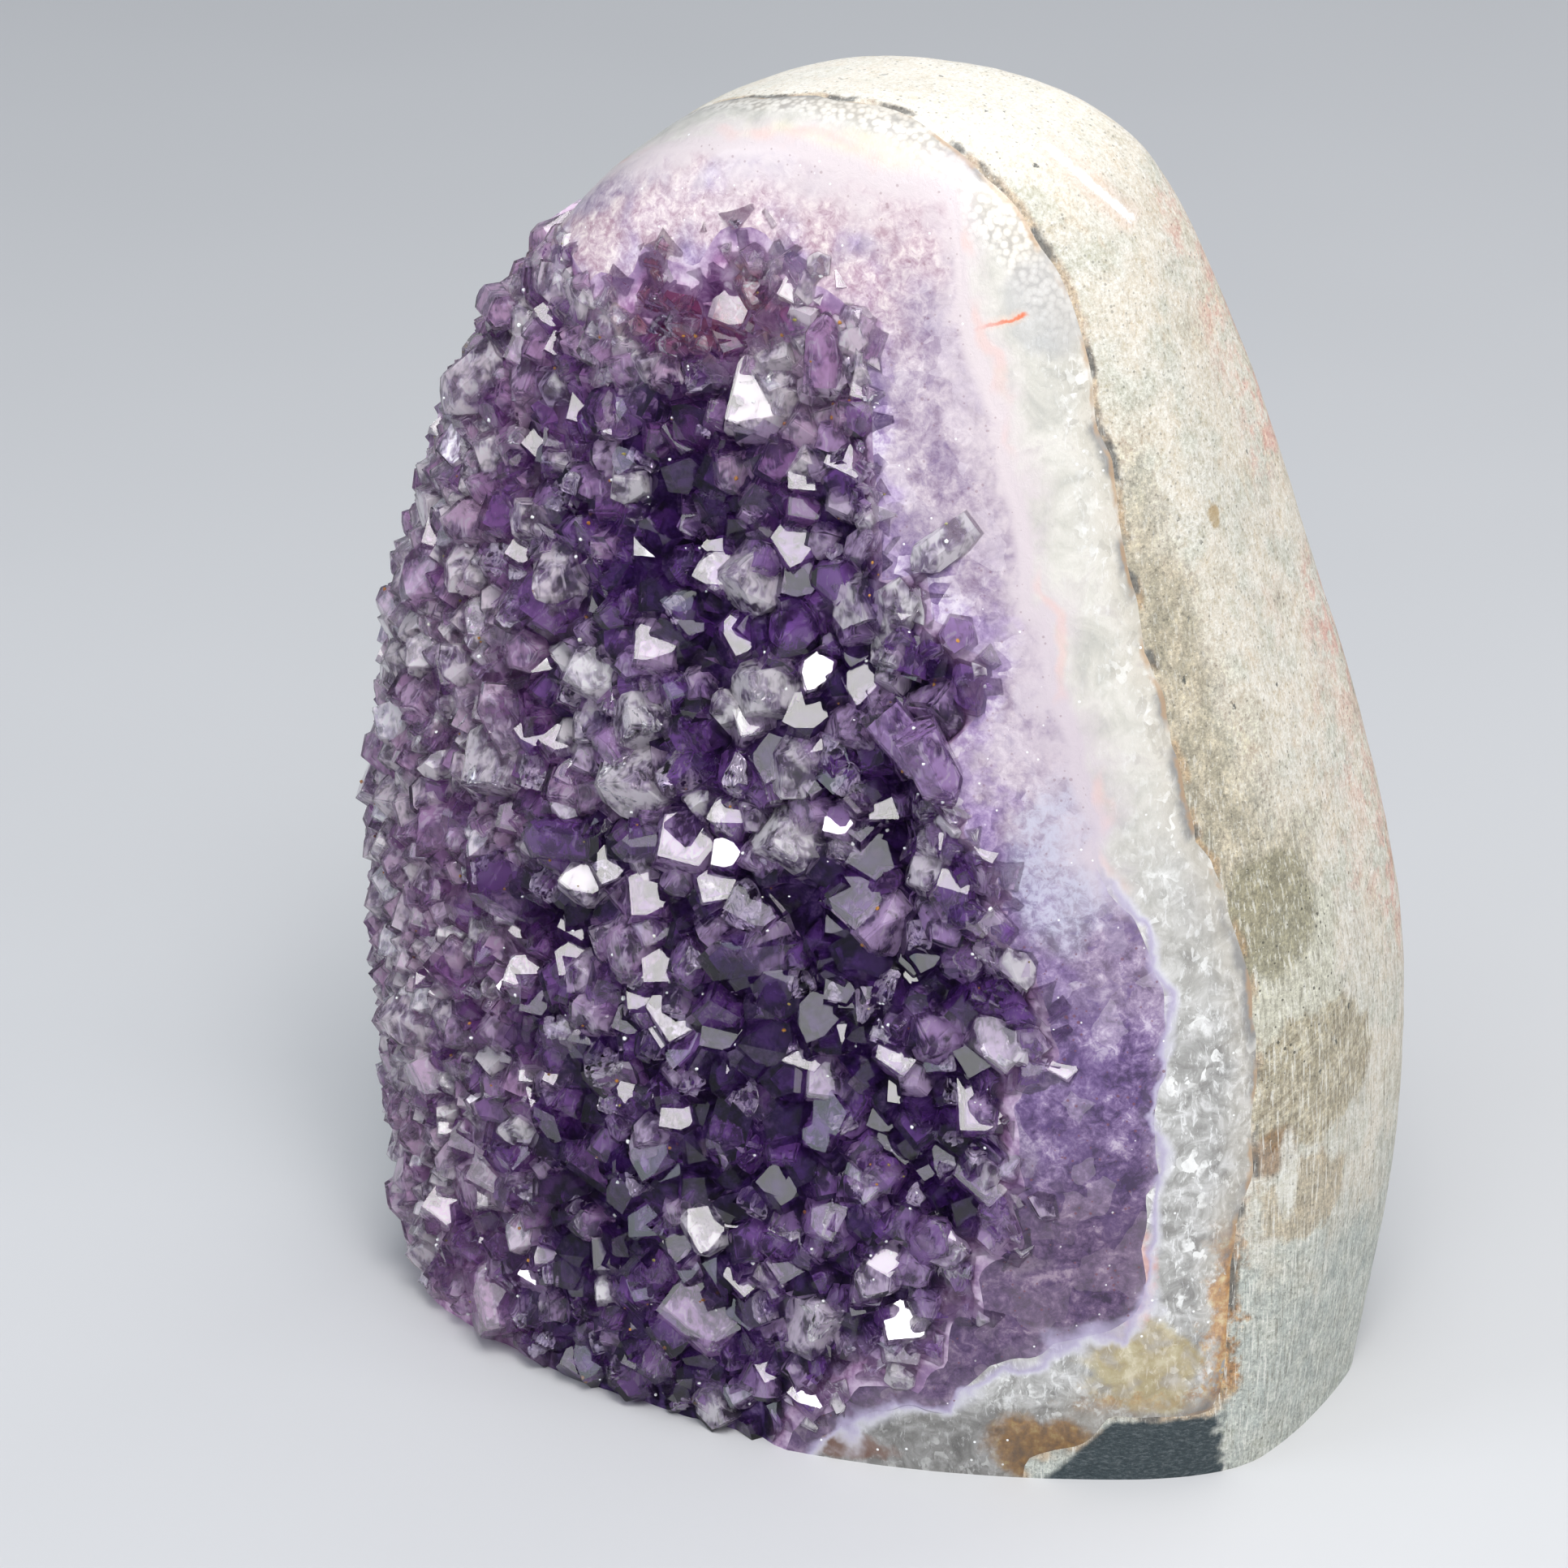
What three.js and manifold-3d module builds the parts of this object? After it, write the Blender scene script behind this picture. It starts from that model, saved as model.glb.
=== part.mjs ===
// Amethyst geode: a free-standing cut-base section of an amethyst cavity.
// Units are millimetres, +Z is up, the ground flat base lies on z = 0 and the
// polished face with the open crystal cavity looks along -Y.
//
// Three pieces, one for each mineral that the specimen shows:
//   basalt_matrix   the ground host rock at the back, the right side and the foot
//   quartz_band     the white to clear quartz band between rock and amethyst
//   amethyst_druse  the violet layer with its polished rim and all grown-together crystals
import * as THREE from 'three';
import { mergeVertices } from 'three/addons/utils/BufferGeometryUtils.js';
import { ConvexGeometry } from 'three/addons/geometries/ConvexGeometry.js';
import Module from 'manifold-3d';

const wasm = await Module();
wasm.setup();

// ---------------------------------------------------------------- dimensions
const HEIGHT = 116;            // base to top
const FOOT_BLEND = 28;         // height over which the front edge gets rounder
const GAP = 0.3;               // clearance between neighbouring pieces
const SEGMENTS = 56;           // steps around the rim
const CENTRE = [-9, -2, 52];   // inner point from which all surfaces are measured
const UNDER = 40;              // how far the uncut body runs on below the base
const DRUSE_DEPTH = 2.5;       // how far the crystal floor lies below the polished rim
const DRUSE_EDGE = 4.5;        // width of the slope from the rim to that floor
const QUARTZ_ANGLE = 51.8;     // angle between a crystal's axis and the normal of a tip face
const THREE_FACED = 5.2;       // narrower crystals show their three major tip faces only
const SMALLEST_CRYSTAL = 4.3;  // narrower crystals are left to the finish

// Half sections by height: right and left edge, back, and widest line. The eleven
// values run from the top (s = 0) to the base (s = 1), with s = sqrt(1 - z / HEIGHT).
const X_RIGHT = [-4.5, 4.99, 12.45, 17.08, 20.65, 24.5, 28.5, 33.28, 37.52, 38.42, 36.35];
const X_LEFT = [-4.5, -14.3, -22.93, -30.51, -37.66, -45.43, -50.36, -53.76, -55.01, -53.09, -47.09];
const Y_BACK = [1.77, 5.45, 8.93, 12.26, 15.61, 18.93, 21.86, 23.94, 24.51, 22.83, 18.54];
const Y_WIDEST = [1, 2, 2, 2, 3, 4, 5, 6, 6, 5, 2];
// The slightly crowned, back-leaning polished face: y = a0 + a1 z + a2 z^2 + c (x - x0)^2
const FACE = { a0: -30.22, a1: -0.0399, a2: 0.001634, c: 0.007, x0: -7.38 };

// Outlines on the specimen, as [angle around the face, angle from the face axis] in degrees,
// both seen from CENTRE: edge of the open crystals, amethyst against quartz, quartz against rock.
const CRYSTAL_EDGE = [
  [1, 46.2], [10.1, 45], [18.9, 42.1], [23.8, 43.8], [34.6, 42.1], [39.6, 45.4], [41, 50.4],
  [48.1, 55.1], [51.6, 54.3], [59.3, 55.6], [63.7, 57.9], [69, 54.6], [73.2, 59.6], [77, 64.7],
  [78.7, 67.6], [81.7, 71.3], [83.5, 72.1], [85.1, 72.6], [88.9, 73.2], [92.5, 75.5], [95.5, 75.1],
  [100.2, 74.4], [105.9, 75.8], [109.3, 75.3], [112.6, 75.7], [118.8, 82.5], [126, 85.5],
  [133, 87.5], [140, 87], [150, 86.2], [160, 85.6], [170, 84.8], [180, 84.4], [190, 83],
  [200, 82.4], [210, 81], [220, 80.4], [230, 79], [240, 80.5], [248, 81], [256, 79], [263, 74],
  [269, 68], [273, 63.5], [276.6, 60.6], [279.5, 60], [283.2, 59.3], [290.8, 60.2], [295, 60.1],
  [296.7, 58.8], [301.2, 59.1], [303.5, 57.2], [307.4, 57.7], [310.9, 58.1], [313.5, 56.2],
  [316.8, 56], [319.1, 54.3], [324.7, 51.8], [328.2, 51.3], [333.3, 52.1], [338.7, 52.5],
  [345.6, 50.6], [351, 48.3], [355.5, 43.5],
];
const VIOLET_EDGE = [
  [0.6, 59.8], [4.5, 57.2], [11, 56.3], [14.9, 58.1], [18, 57.7], [24.8, 58.1], [31.8, 58.8],
  [36.3, 59.4], [40.9, 60], [45.7, 61.9], [49.7, 61.8], [53.2, 64.1], [56.9, 66.1], [60, 67.9],
  [63.8, 69.3], [65.2, 71.1], [67.7, 71.8], [70.4, 72.9], [71.9, 73.8], [73.4, 75], [76, 77.5],
  [77.8, 79.1], [83.7, 77.9], [87, 78.1], [90.5, 78.8], [94.5, 79.5], [98.2, 79.9], [102.3, 80.6],
  [108.5, 83.3], [114, 86], [120, 88], [128, 91], [138, 91], [150, 90], [165, 89.5], [180, 88.6],
  [195, 88], [210, 86.5], [225, 85], [238, 85], [250, 84.5], [260, 80], [268, 73], [274, 66],
  [279.6, 60.9], [282.4, 60.5], [288, 61.1], [290, 61.2], [293.1, 62.3], [295.2, 61.5],
  [299.4, 61.6], [303.1, 63.2], [305.9, 63.6], [310.9, 66], [313.4, 66.9], [317, 67],
  [319.6, 65.7], [324.8, 64.7], [327.3, 65.5], [330.8, 64.6], [334.6, 63.6], [338.9, 63.6],
  [345.5, 63], [350.7, 62.5], [354.5, 61.5],
];
const ROCK_EDGE = [
  [2.4, 70.3], [6.8, 69.2], [9.9, 67.9], [11.4, 68.3], [16.5, 68.4], [22.5, 68.6], [27.1, 68.9],
  [30.9, 69.2], [35.3, 69.2], [40.6, 70.8], [45.2, 71.6], [50.6, 73.5], [54.2, 75], [57.3, 75.6],
  [60.2, 77.4], [63, 78.5], [65.5, 79.1], [67.8, 79.7], [70.2, 79.9], [72.5, 80.5], [75.7, 81],
  [78.5, 81.8], [82.2, 82.4], [84.9, 83], [87, 83.3], [89.8, 83.4], [91.6, 84.2], [96.1, 84.8],
  [102.2, 88.1], [108, 91], [115, 94.5], [125, 97], [138, 97.5], [150, 97], [165, 96], [180, 95],
  [195, 94.5], [210, 93.5], [225, 92.5], [240, 91.5], [252, 90], [262, 87], [270, 83], [278, 78],
  [286, 73.5], [292, 69.5], [297.3, 66.8], [300.7, 67.9], [303.5, 68.8], [305.7, 69.2],
  [308.5, 71.4], [311.1, 74.3], [312.7, 74.6], [314.7, 74.2], [318.2, 73.6], [320.6, 73.4],
  [323.8, 73.1], [327.3, 72.8], [330.5, 73.4], [335.1, 72.9], [340.9, 73.1], [346.6, 72.4],
  [352.5, 71.8], [357.4, 70.8],
];
// How the two buried contacts turn inwards: depth of the bowl, its turning angle, and
// the line where each one meets the base.
const VIOLET_BOWL = { depth: 0.85, turn: 45, footY: -16 };
const ROCK_BOWL = { depth: 0.64, turn: 45, footY: -9 };

// Hollows in the crystal floor: x, z, half widths in x and z, depth.
const HOLLOWS = [[-17.6, 84.7, 6.5, 9, 3.4], [-2, 77.9, 4, 6, 1.8], [5.3, 56.3, 4.5, 9, 2.6], [0.6, 31.2, 8, 6.5, 2.8], [-26.3, 14.4, 6.5, 5, 2.6], [9.1, 23.2, 5, 5, 1.8], [-4.9, 42.8, 4.5, 5, 1.6]];

// Crystals: tip x, y, z, axis x, y, z, turn about the axis (degrees), width over the
// prism, and how much the three minor tip faces stand back, as a share of the width.
const CRYSTALS = [
  [-34.5, -14, 94.9, -0.51, -0.68, 0.52, 57, 3.8, 0.25],
  [-42.8, -10.9, 89.3, -0.52, -0.79, 0.32, 73, 3.3, 0.28],
  [-32.6, -15.6, 92.2, -0.36, -0.89, 0.26, 69, 2.9, 0.29],
  [-29.4, -18, 87.6, -0.29, -0.96, 0.06, 75, 4.4, 0.38],
  [-34.2, -16.2, 87.4, -0.64, -0.63, 0.44, 56, 4, 0.21],
  [-34.5, -15.7, 91.5, -0.26, -0.96, 0.08, 57, 4, 0.12],
  [-27.1, -17.6, 93.1, -0.18, -0.98, 0.03, 28, 4.2, 0.23],
  [-26.4, -18.8, 82.2, -0.32, -0.94, 0.1, 77, 6.2, 0.41],
  [-26.1, -19.9, 79.5, -0.26, -0.96, 0.12, 72, 7.3, 0.35],
  [-32.5, -18.7, 77.8, -0.52, -0.69, 0.51, 63, 4.5, 0.33],
  [-34.9, -19.1, 74.7, -0.41, -0.87, 0.27, 68, 3.5, 0.38],
  [-22.3, -20.6, 76.7, -0.14, -0.99, -0.02, 83, 7.9, 0.29],
  [-15.8, -20.9, 78.9, -0.5, -0.81, 0.3, 66, 3.3, 0.37],
  [-38.8, -19, 66.6, -0.1, -0.99, -0.08, 92, 4, 0.32],
  [-41.5, -19, 61.5, 0.01, -1, 0.01, 94, 4.8, 0.3],
  [-20.2, -24.9, 69.5, -0.17, -0.98, 0.08, 83, 5.2, 0.17],
  [-30.9, -22.1, 72.5, -0.32, -0.94, -0.1, 114, 6.7, 0.05],
  [-27.2, -24.2, 66.3, -0.32, -0.94, 0.1, 62, 5.8, 0.11],
  [-46.8, -15.6, 66.8, -0.36, -0.9, -0.26, 112, 6.4, 0.24],
  [-16.2, -18.7, 98.2, -0.41, -0.91, 0.11, 76, 5.8, 0.23],
  [-12.3, -18.3, 99.9, 0.19, -0.98, -0.11, 105, 4, 0.14],
  [-13.5, -21.2, 91, -0.32, -0.94, 0.06, 76, 8.6, 0.25],
  [-7.5, -21.6, 85.9, -0.17, -0.99, -0.02, 83, 4.5, 0.33],
  [-4.6, -21, 88.2, -0.4, -0.91, 0.15, 71, 4.8, 0.26],
  [-2.7, -20, 94.2, -0.3, -0.95, 0.12, 76, 4.8, 0.37],
  [-7.3, -22.2, 83.4, -0.07, -0.99, 0.1, 79, 4, 0.36],
  [-6.8, -22.8, 79, 0.21, -0.96, -0.18, 107, 4.7, 0.27],
  [-11.6, -23.9, 78.5, -0.15, -0.91, 0.38, 40, 7.1, 0.19],
  [-7.7, -23.5, 73, -0.29, -0.96, 0.03, 80, 4.5, 0.33],
  [-0.9, -22.1, 74.8, 0.38, -0.91, -0.18, 120, 3.6, 0.41],
  [-4.4, -24.8, 69.5, 0.03, -0.99, -0.12, 93, 4, 0.26],
  [-1.1, -23.1, 71.2, 0.15, -0.98, -0.13, 112, 3.1, 0.29],
  [3.4, -23.3, 76.4, 0.25, -0.94, -0.24, 107, 4.8, 0.33],
  [-35.5, -21.9, 59, -0.03, -1, -0.08, 89, 4.8, 0.29],
  [-32.9, -22.4, 59.9, -0.53, -0.68, 0.5, 60, 4, 0.25],
  [-29.9, -23.2, 60, -0.48, -0.72, 0.51, 59, 3.1, 0.31],
  [-19.9, -26.2, 63.8, 0.1, -0.98, 0.17, 87, 5.8, 0.19],
  [-38.3, -22.4, 53.6, -0.67, -0.7, -0.27, 95, 7.3, 0.21],
  [-31.3, -23.6, 55.4, 0.06, -0.97, -0.24, 48, 4.4, 0.28],
  [-30, -23.6, 52.7, -0.61, -0.75, 0.24, 65, 3.5, 0.4],
  [-34.4, -23.2, 50.7, -0.3, -0.95, -0.03, 73, 3.6, 0.31],
  [-23.3, -26.6, 58.5, -0.6, -0.79, 0.12, 112, 7.1, 0.17],
  [-17.7, -26.6, 59.7, -0.36, -0.93, -0.05, 114, 6, 0.24],
  [-16.6, -28.4, 53.5, -0.22, -0.97, 0.08, 76, 5.8, 0.26],
  [-19.2, -28.1, 47.6, -0.07, -1, -0.05, 85, 5.1, 0.35],
  [-26.8, -26.6, 48.6, -0.47, -0.84, 0.27, 64, 4.2, 0.14],
  [-36.6, -23.4, 43.7, -0.14, -0.99, -0.03, 89, 4.4, 0.3],
  [-32.8, -24.2, 41.7, -0.51, -0.77, 0.38, 70, 3.8, 0.28],
  [-27.4, -25.7, 43.6, -0.38, -0.88, 0.29, 73, 3.6, 0.32],
  [-32.5, -26.1, 37.8, -0.34, -0.93, 0.16, 74, 4.2, 0.3],
  [-26.5, -27.1, 39.7, -0.07, -1, -0.07, 94, 4.4, 0.34],
  [-19.9, -28.6, 41.1, 0.03, -0.83, -0.55, 53, 4.8, 0.11],
  [-15.3, -29.1, 36.6, 0.23, -0.96, -0.13, 110, 6, 0.28],
  [-12.4, -28.2, 49.8, 0.02, -0.99, -0.13, 91, 4.1, 0.38],
  [-11.8, -27.7, 53.6, -0.21, -0.97, 0.09, 79, 3.3, 0.32],
  [-9.1, -29.6, 46.1, -0.08, -0.99, 0.12, 31, 7.6, 0.16],
  [-42.7, -21.6, 35.2, -0.75, -0.61, 0.25, 76, 6.9, 0.21],
  [-47, -17.7, 52.3, -0.31, -0.95, 0.06, 51, 5.1, 0.11],
  [-6.5, -25.3, 66.2, -0.39, -0.9, 0.19, 72, 4.8, 0.28],
  [2.8, -24.6, 66.9, -0.1, -0.99, -0.04, 78, 4.2, 0.34],
  [-3.4, -26.1, 60.4, 0.28, -0.96, -0.05, 115, 3.8, 0.27],
  [1.2, -24.5, 58.7, -0.17, -0.98, -0.11, 88, 4.5, 0.39],
  [1.1, -25.4, 56.9, 0.46, -0.89, -0.05, 3, 4.7, 0.42],
  [-0.5, -25.5, 54.9, -0.29, -0.93, 0.24, 62, 4.8, 0.27],
  [-8.9, -25.9, 70.5, -0.01, -0.81, 0.59, 15, 5.8, 0.16],
  [-5.9, -28.7, 56.3, -0.03, -0.97, 0.23, 57, 6.9, 0.11],
  [-10.5, -28.3, 50, -0.3, -0.89, 0.34, 73, 6.2, 0.28],
  [0.8, -27.1, 49.6, 0.4, -0.87, -0.29, 119, 5.4, 0.24],
  [2.4, -28, 49.1, 0.07, -1, 0.02, 16, 7.6, 0.09],
  [6, -25.7, 45.9, 0.36, -0.89, -0.26, 3, 2.9, 0.41],
  [6.9, -26.3, 44, 0.3, -0.93, -0.2, 114, 3.8, 0.39],
  [7.8, -25.3, 57.5, -0.18, -0.98, 0.01, 86, 3.6, 0.37],
  [9.6, -25.5, 55.6, -0.07, -0.97, 0.25, 11, 5.4, 0.31],
  [6.9, -24.9, 70.3, -0.01, -0.96, 0.3, 38, 7.9, 0.25],
  [13.1, -26.4, 44.9, 0.04, -0.96, 0.29, 62, 6.4, 0.18],
  [15.1, -26.8, 38.7, 0.43, -0.85, -0.3, 3, 6.7, 0.14],
  [2.7, -25.1, 63.9, 0.43, -0.89, 0.16, 58, 5.5, 0.16],
  [-44.2, -21.9, 25.6, -0.42, -0.72, 0.56, 50, 4.8, 0.22],
  [-33.6, -24.9, 28.9, -0.26, -0.96, -0.02, 77, 3.6, 0.3],
  [-23.3, -28.8, 32.3, -0.46, -0.85, 0.25, 1, 7.3, 0.24],
  [-29.6, -26.5, 25.7, 0.05, -1, -0.07, 94, 4, 0.38],
  [-15.9, -29.9, 28.8, -0.24, -0.97, 0.03, 81, 4.5, 0.33],
  [-39.6, -23.8, 18.8, -0.35, -0.94, 0.07, 74, 4.5, 0.26],
  [-34.5, -24.6, 22.5, -0.09, -0.99, -0.12, 90, 2.9, 0.34],
  [-31.5, -25.9, 22.4, -0.22, -0.98, 0.01, 87, 3.8, 0.36],
  [-25.4, -28.8, 22.5, -0.32, -0.94, 0.1, 48, 7.1, 0.19],
  [-37.2, -25.3, 16.9, -0.39, -0.91, 0.18, 68, 4.8, 0.24],
  [-42.7, -23.2, 12, -0.45, -0.84, 0.3, 67, 5.1, 0.3],
  [-34.9, -27.2, 3.5, 0.03, -0.98, -0.17, 91, 8.1, 0.2],
  [-25.8, -25.7, 13.3, 0.06, -0.98, -0.16, 101, 3.2, 0.41],
  [-27, -25.2, 11.1, -0.32, -0.94, 0.1, 81, 3.3, 0.36],
  [-11.5, -31.4, 18.4, 0.15, -0.97, -0.18, 106, 5.2, 0.11],
  [-15.6, -31.5, 12.1, -0.47, -0.84, 0.28, 62, 8.9, 0.2],
  [-22.6, -29.1, 9.8, -0.2, -0.98, -0.03, 92, 5.2, 0.08],
  [-26.4, -28.3, 2.8, -0.34, -0.91, 0.22, 67, 4.4, 0.21],
  [-19.8, -29.6, 4.9, -0.39, -0.91, 0.16, 71, 4.1, 0.22],
  [-24.2, -28.7, 1.5, -0.15, -0.97, -0.21, 117, 5.1, 0.28],
  [8.2, -28.5, 40.9, 0.16, -0.98, 0.08, 103, 6.7, 0.16],
  [-5.2, -27.9, 36.6, -0.3, -0.95, 0.12, 75, 4.4, 0.31],
  [-2.6, -28.7, 33.8, -0.16, -0.98, -0.06, 78, 5.4, 0.16],
  [4.2, -27.2, 34.5, -0.2, -0.98, 0.01, 81, 3.8, 0.37],
  [11, -28, 33.4, -0.12, -0.99, -0.02, 86, 7.1, 0.37],
  [-5.7, -28.2, 27.7, 0.15, -0.98, -0.11, 103, 4.4, 0.37],
  [-8.1, -28.9, 27, 0.36, -0.93, -0.09, 109, 3.6, 0.28],
  [5.4, -26.7, 28.2, 0.45, -0.84, -0.3, 119, 4.5, 0.44],
  [14.1, -27.8, 26.7, 0.35, -0.93, -0.15, 3, 6.4, 0.37],
  [14.2, -27.8, 22.3, -0.14, -0.97, 0.22, 71, 4.7, 0.33],
  [2.5, -28.8, 20.9, 0.33, -0.92, -0.19, 114, 6.7, 0.32],
  [-9.7, -30, 20.4, -0.23, -0.97, 0.03, 87, 4.1, 0.34],
  [-9, -30.1, 16.9, 0.08, -0.99, 0.1, 70, 4.8, 0.2],
  [-4.2, -30.5, 16.4, 0.25, -0.94, -0.25, 109, 3.8, 0.32],
  [2.3, -30.2, 14.5, -0.1, -0.99, -0.09, 103, 4.7, 0.33],
  [5.3, -28.8, 16.9, 0.03, -0.96, -0.27, 90, 4, 0.21],
  [0.1, -31.2, 14.3, 0.4, -0.81, 0.44, 92, 6.7, 0.1],
  [5.7, -30.4, 12.9, -0.04, -1, -0.02, 92, 4.8, 0.24],
  [-5.5, -30.8, 6.5, 0.24, -0.96, -0.11, 103, 4.1, 0.33],
  [13.3, -28.1, 15.6, 0.22, -0.96, 0.2, 89, 3.2, 0.09],
  [-12.5, -28.8, 37.1, -0.32, -0.95, 0.02, 82, 4.5, 0.31],
  [-23.6, -20.8, 75.6, -0.42, -0.89, 0.18, 117, 4.4, 0.24],
  [-2.3, -27.5, 46.3, -0.12, -0.97, 0.21, 111, 4.2, 0.22],
  [-3.2, -29, 23.3, 0.16, -0.97, -0.16, 7, 4.5, 0.36],
  [8.9, -26.4, 25.3, 0.24, -0.87, 0.42, 7, 4.7, 0.35],
  [-23.5, -22.2, 71.4, -0.29, -0.95, -0.13, 25, 3.9, 0.23],
  [-14, -26, 64.4, 0.07, -0.96, 0.27, 19, 4.8, 0.24],
  [-10.8, -26.8, 60.7, -0.04, -1, 0.06, 51, 4.4, 0.23],
  [-2.6, -24.9, 65.9, -0.05, -0.61, 0.79, 5, 4.4, 0.27],
  [-40.2, -21.9, 42.2, -0.62, -0.74, 0.27, 96, 5.1, 0.29],
  [-43.8, -20.2, 45.3, -0.34, -0.81, -0.49, 58, 5.1, 0.14],
  [-46.1, -20.6, 16.9, -0.45, -0.89, 0.07, 22, 4.7, 0.17],
  [-40.7, -23, 8.8, -0.86, -0.51, 0.05, 84, 5.4, 0.16],
  [-32, -24.6, 15.1, -0.39, -0.92, -0.08, 60, 4.8, 0.28],
  [-19.3, -28.9, 20.7, -0.07, -1, -0.05, 57, 4.4, 0.24],
  [11.2, -27.8, 20.6, 0.32, -0.64, 0.7, 13, 4.8, 0.2],
  [-15, -27.7, 46.8, -0.11, -0.99, 0.04, 114, 4.1, 0.37],
  [4.7, -24.3, 52.3, 0.2, -0.94, 0.28, 8, 4.4, 0.37],
  [-6.1, -27.2, 42.3, -0.03, -0.97, 0.22, 74, 4.8, 0.22],
  [1.6, -27.6, 41.1, -0, -0.83, -0.56, 38, 4.5, 0.37],
  [-42.4, -14.6, 78.6, -0.1, -0.95, 0.31, 36, 4.5, 0.26],
  [-38.5, -17.3, 76.1, -0.67, -0.73, -0.14, 65, 4.8, 0.32],
  [-41.7, -16.7, 71.6, -0.34, -0.94, -0.02, 44, 4.4, 0.21],
  [-20.4, -17.9, 96.9, -0.64, -0.73, 0.22, 104, 4.7, 0.22],
  [-22, -17.7, 91.6, 0.15, -0.91, 0.38, 73, 4.5, 0.19],
  [-17.5, -17.9, 93.8, -0.05, -0.89, 0.46, 65, 3.6, 0.27],
  [-36.9, -16.3, 83.6, -0.33, -0.92, 0.2, 9, 4.2, 0.19],
  [-6.3, -18.6, 98.8, 0.67, -0.74, 0.03, 49, 4.2, 0.31],
  [-3.9, -19.1, 97.2, -0.08, -1, 0.01, 36, 3.6, 0.32],
  [-15.8, -19.2, 82.8, -0.2, -0.96, 0.19, 69, 4.4, 0.26],
  [-2.9, -21, 82.7, 0.04, -0.95, 0.31, 31, 4.2, 0.21],
  [3.1, -23.9, 62, 0.3, -0.95, 0.05, 14, 3.6, 0.24],
  [-16.6, -25.2, 66.5, 0.07, -0.99, 0.14, 112, 4.2, 0.18],
  [-21.3, -27.7, 36.4, -0.25, -0.96, 0.11, 66, 4.1, 0.26],
  [-31, -25.2, 34.6, -0.15, -0.82, 0.55, 112, 4.1, 0.22],
  [-37.7, -23.8, 30.8, -0.44, -0.86, 0.27, 115, 4.8, 0.14],
  [-11.2, -29.6, 24.4, -0.06, -1, 0.03, 14, 4.4, 0.28],
  [-16.2, -29.2, 23.1, -0.37, -0.9, -0.23, 113, 3.8, 0.27],
  [-28.2, -25.9, 36.6, -0.08, -0.99, 0.11, 59, 3.6, 0.29],
  [-10.4, -30.6, 8.1, 0.32, -0.93, -0.18, 21, 4.8, 0.16],
  [-1.5, -30.8, 7.5, -0.03, -0.99, 0.14, 38, 4.1, 0.22],
  [-21.1, -29.1, 0.3, -0.25, -0.97, -0.07, 70, 4.1, 0.24],
  [-12.9, -30.2, 2.5, -0.46, -0.88, -0.07, 45, 4.1, 0.32],
  [-32.2, -26.2, 2.3, -0.45, -0.88, 0.16, 92, 4.4, 0.14],
];

// ------------------------------------------------------------------- helpers
const rad = (d) => (d * Math.PI) / 180;
const clamp = (v, a, b) => Math.min(Math.max(v, a), b);
const smooth = (t) => { const u = clamp(t, 0, 1); return u * u * (3 - 2 * u); };
const blendMax = (a, b, k) => { const h = Math.max(k - Math.abs(a - b), 0) / k; return Math.max(a, b) + h * h * k * 0.25; };
const blendMin = (a, b, k) => -blendMax(-a, -b, k);

// Catmull-Rom spline through evenly spaced values, s from 0 to 1.
function spline(values, s) {
  const n = values.length - 1;
  const t = clamp(s, 0, 1) * n;
  const i = Math.min(Math.floor(t), n - 1);
  const u = t - i;
  const p1 = values[i], p2 = values[i + 1];
  const p0 = i > 0 ? values[i - 1] : 2 * p1 - p2;
  const p3 = i < n - 1 ? values[i + 2] : 2 * p2 - p1;
  return 0.5 * (2 * p1 + (p2 - p0) * u + (2 * p0 - 5 * p1 + 4 * p2 - p3) * u * u + (3 * p1 - p0 - 3 * p2 + p3) * u * u * u);
}

// Value of an outline at an angle around the face.
function outline(table, alpha) {
  const a = ((alpha % 360) + 360) % 360;
  const n = table.length;
  for (let i = 0; i < n; i++) {
    const [a0, b0] = i === 0 ? [table[n - 1][0] - 360, table[n - 1][1]] : table[i - 1];
    const [a1, b1] = table[i];
    if (a <= a1) return b0 + ((b1 - b0) * (a - a0)) / (a1 - a0);
  }
  const [a0, b0] = table[n - 1];
  return b0 + ((table[0][1] - b0) * (a - a0)) / (table[0][0] + 360 - a0);
}

// Signed distance-like function of the whole specimen, negative inside.
function body(x, y, z) {
  const s = Math.min(Math.sqrt(Math.max(1 - z / HEIGHT, 1e-9)), 1);
  const xr = spline(X_RIGHT, s), xl = spline(X_LEFT, s), yb = spline(Y_BACK, s);
  let y0 = spline(Y_WIDEST, s);
  const xc = (xr + xl) / 2, hx = Math.max((xr - xl) / 2, 1e-3);
  const w = smooth(((xc - x) / hx) * 0.8 + 0.2);
  y0 -= 14 * s * (2 - s) * w;
  const hb = Math.max(yb - y0, 1e-3), hf = Math.max((yb + 1) * 2.2, 1e-3);
  const pe = 2.3 + 0.5 * w;
  const u = Math.abs(x - xc) / hx, vb = Math.max(y - y0, 0) / hb, vf = Math.max(y0 - y, 0) / hf;
  const g = Math.pow(Math.pow(u, pe) + Math.pow(vb, pe) + Math.pow(vf, pe), 1 / pe);
  const dome = (g - 1) * Math.min(hx, yb + 8);
  const yf = FACE.a0 + FACE.a1 * z + FACE.a2 * z * z + FACE.c * (x - FACE.x0) ** 2;
  const face = (yf - y) / Math.sqrt(1 + (2 * FACE.c * (x - FACE.x0)) ** 2 + (FACE.a1 + 2 * FACE.a2 * z) ** 2);
  return blendMax(dome, face, 3.2 + 3.8 * smooth(z / FOOT_BLEND));
}

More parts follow.
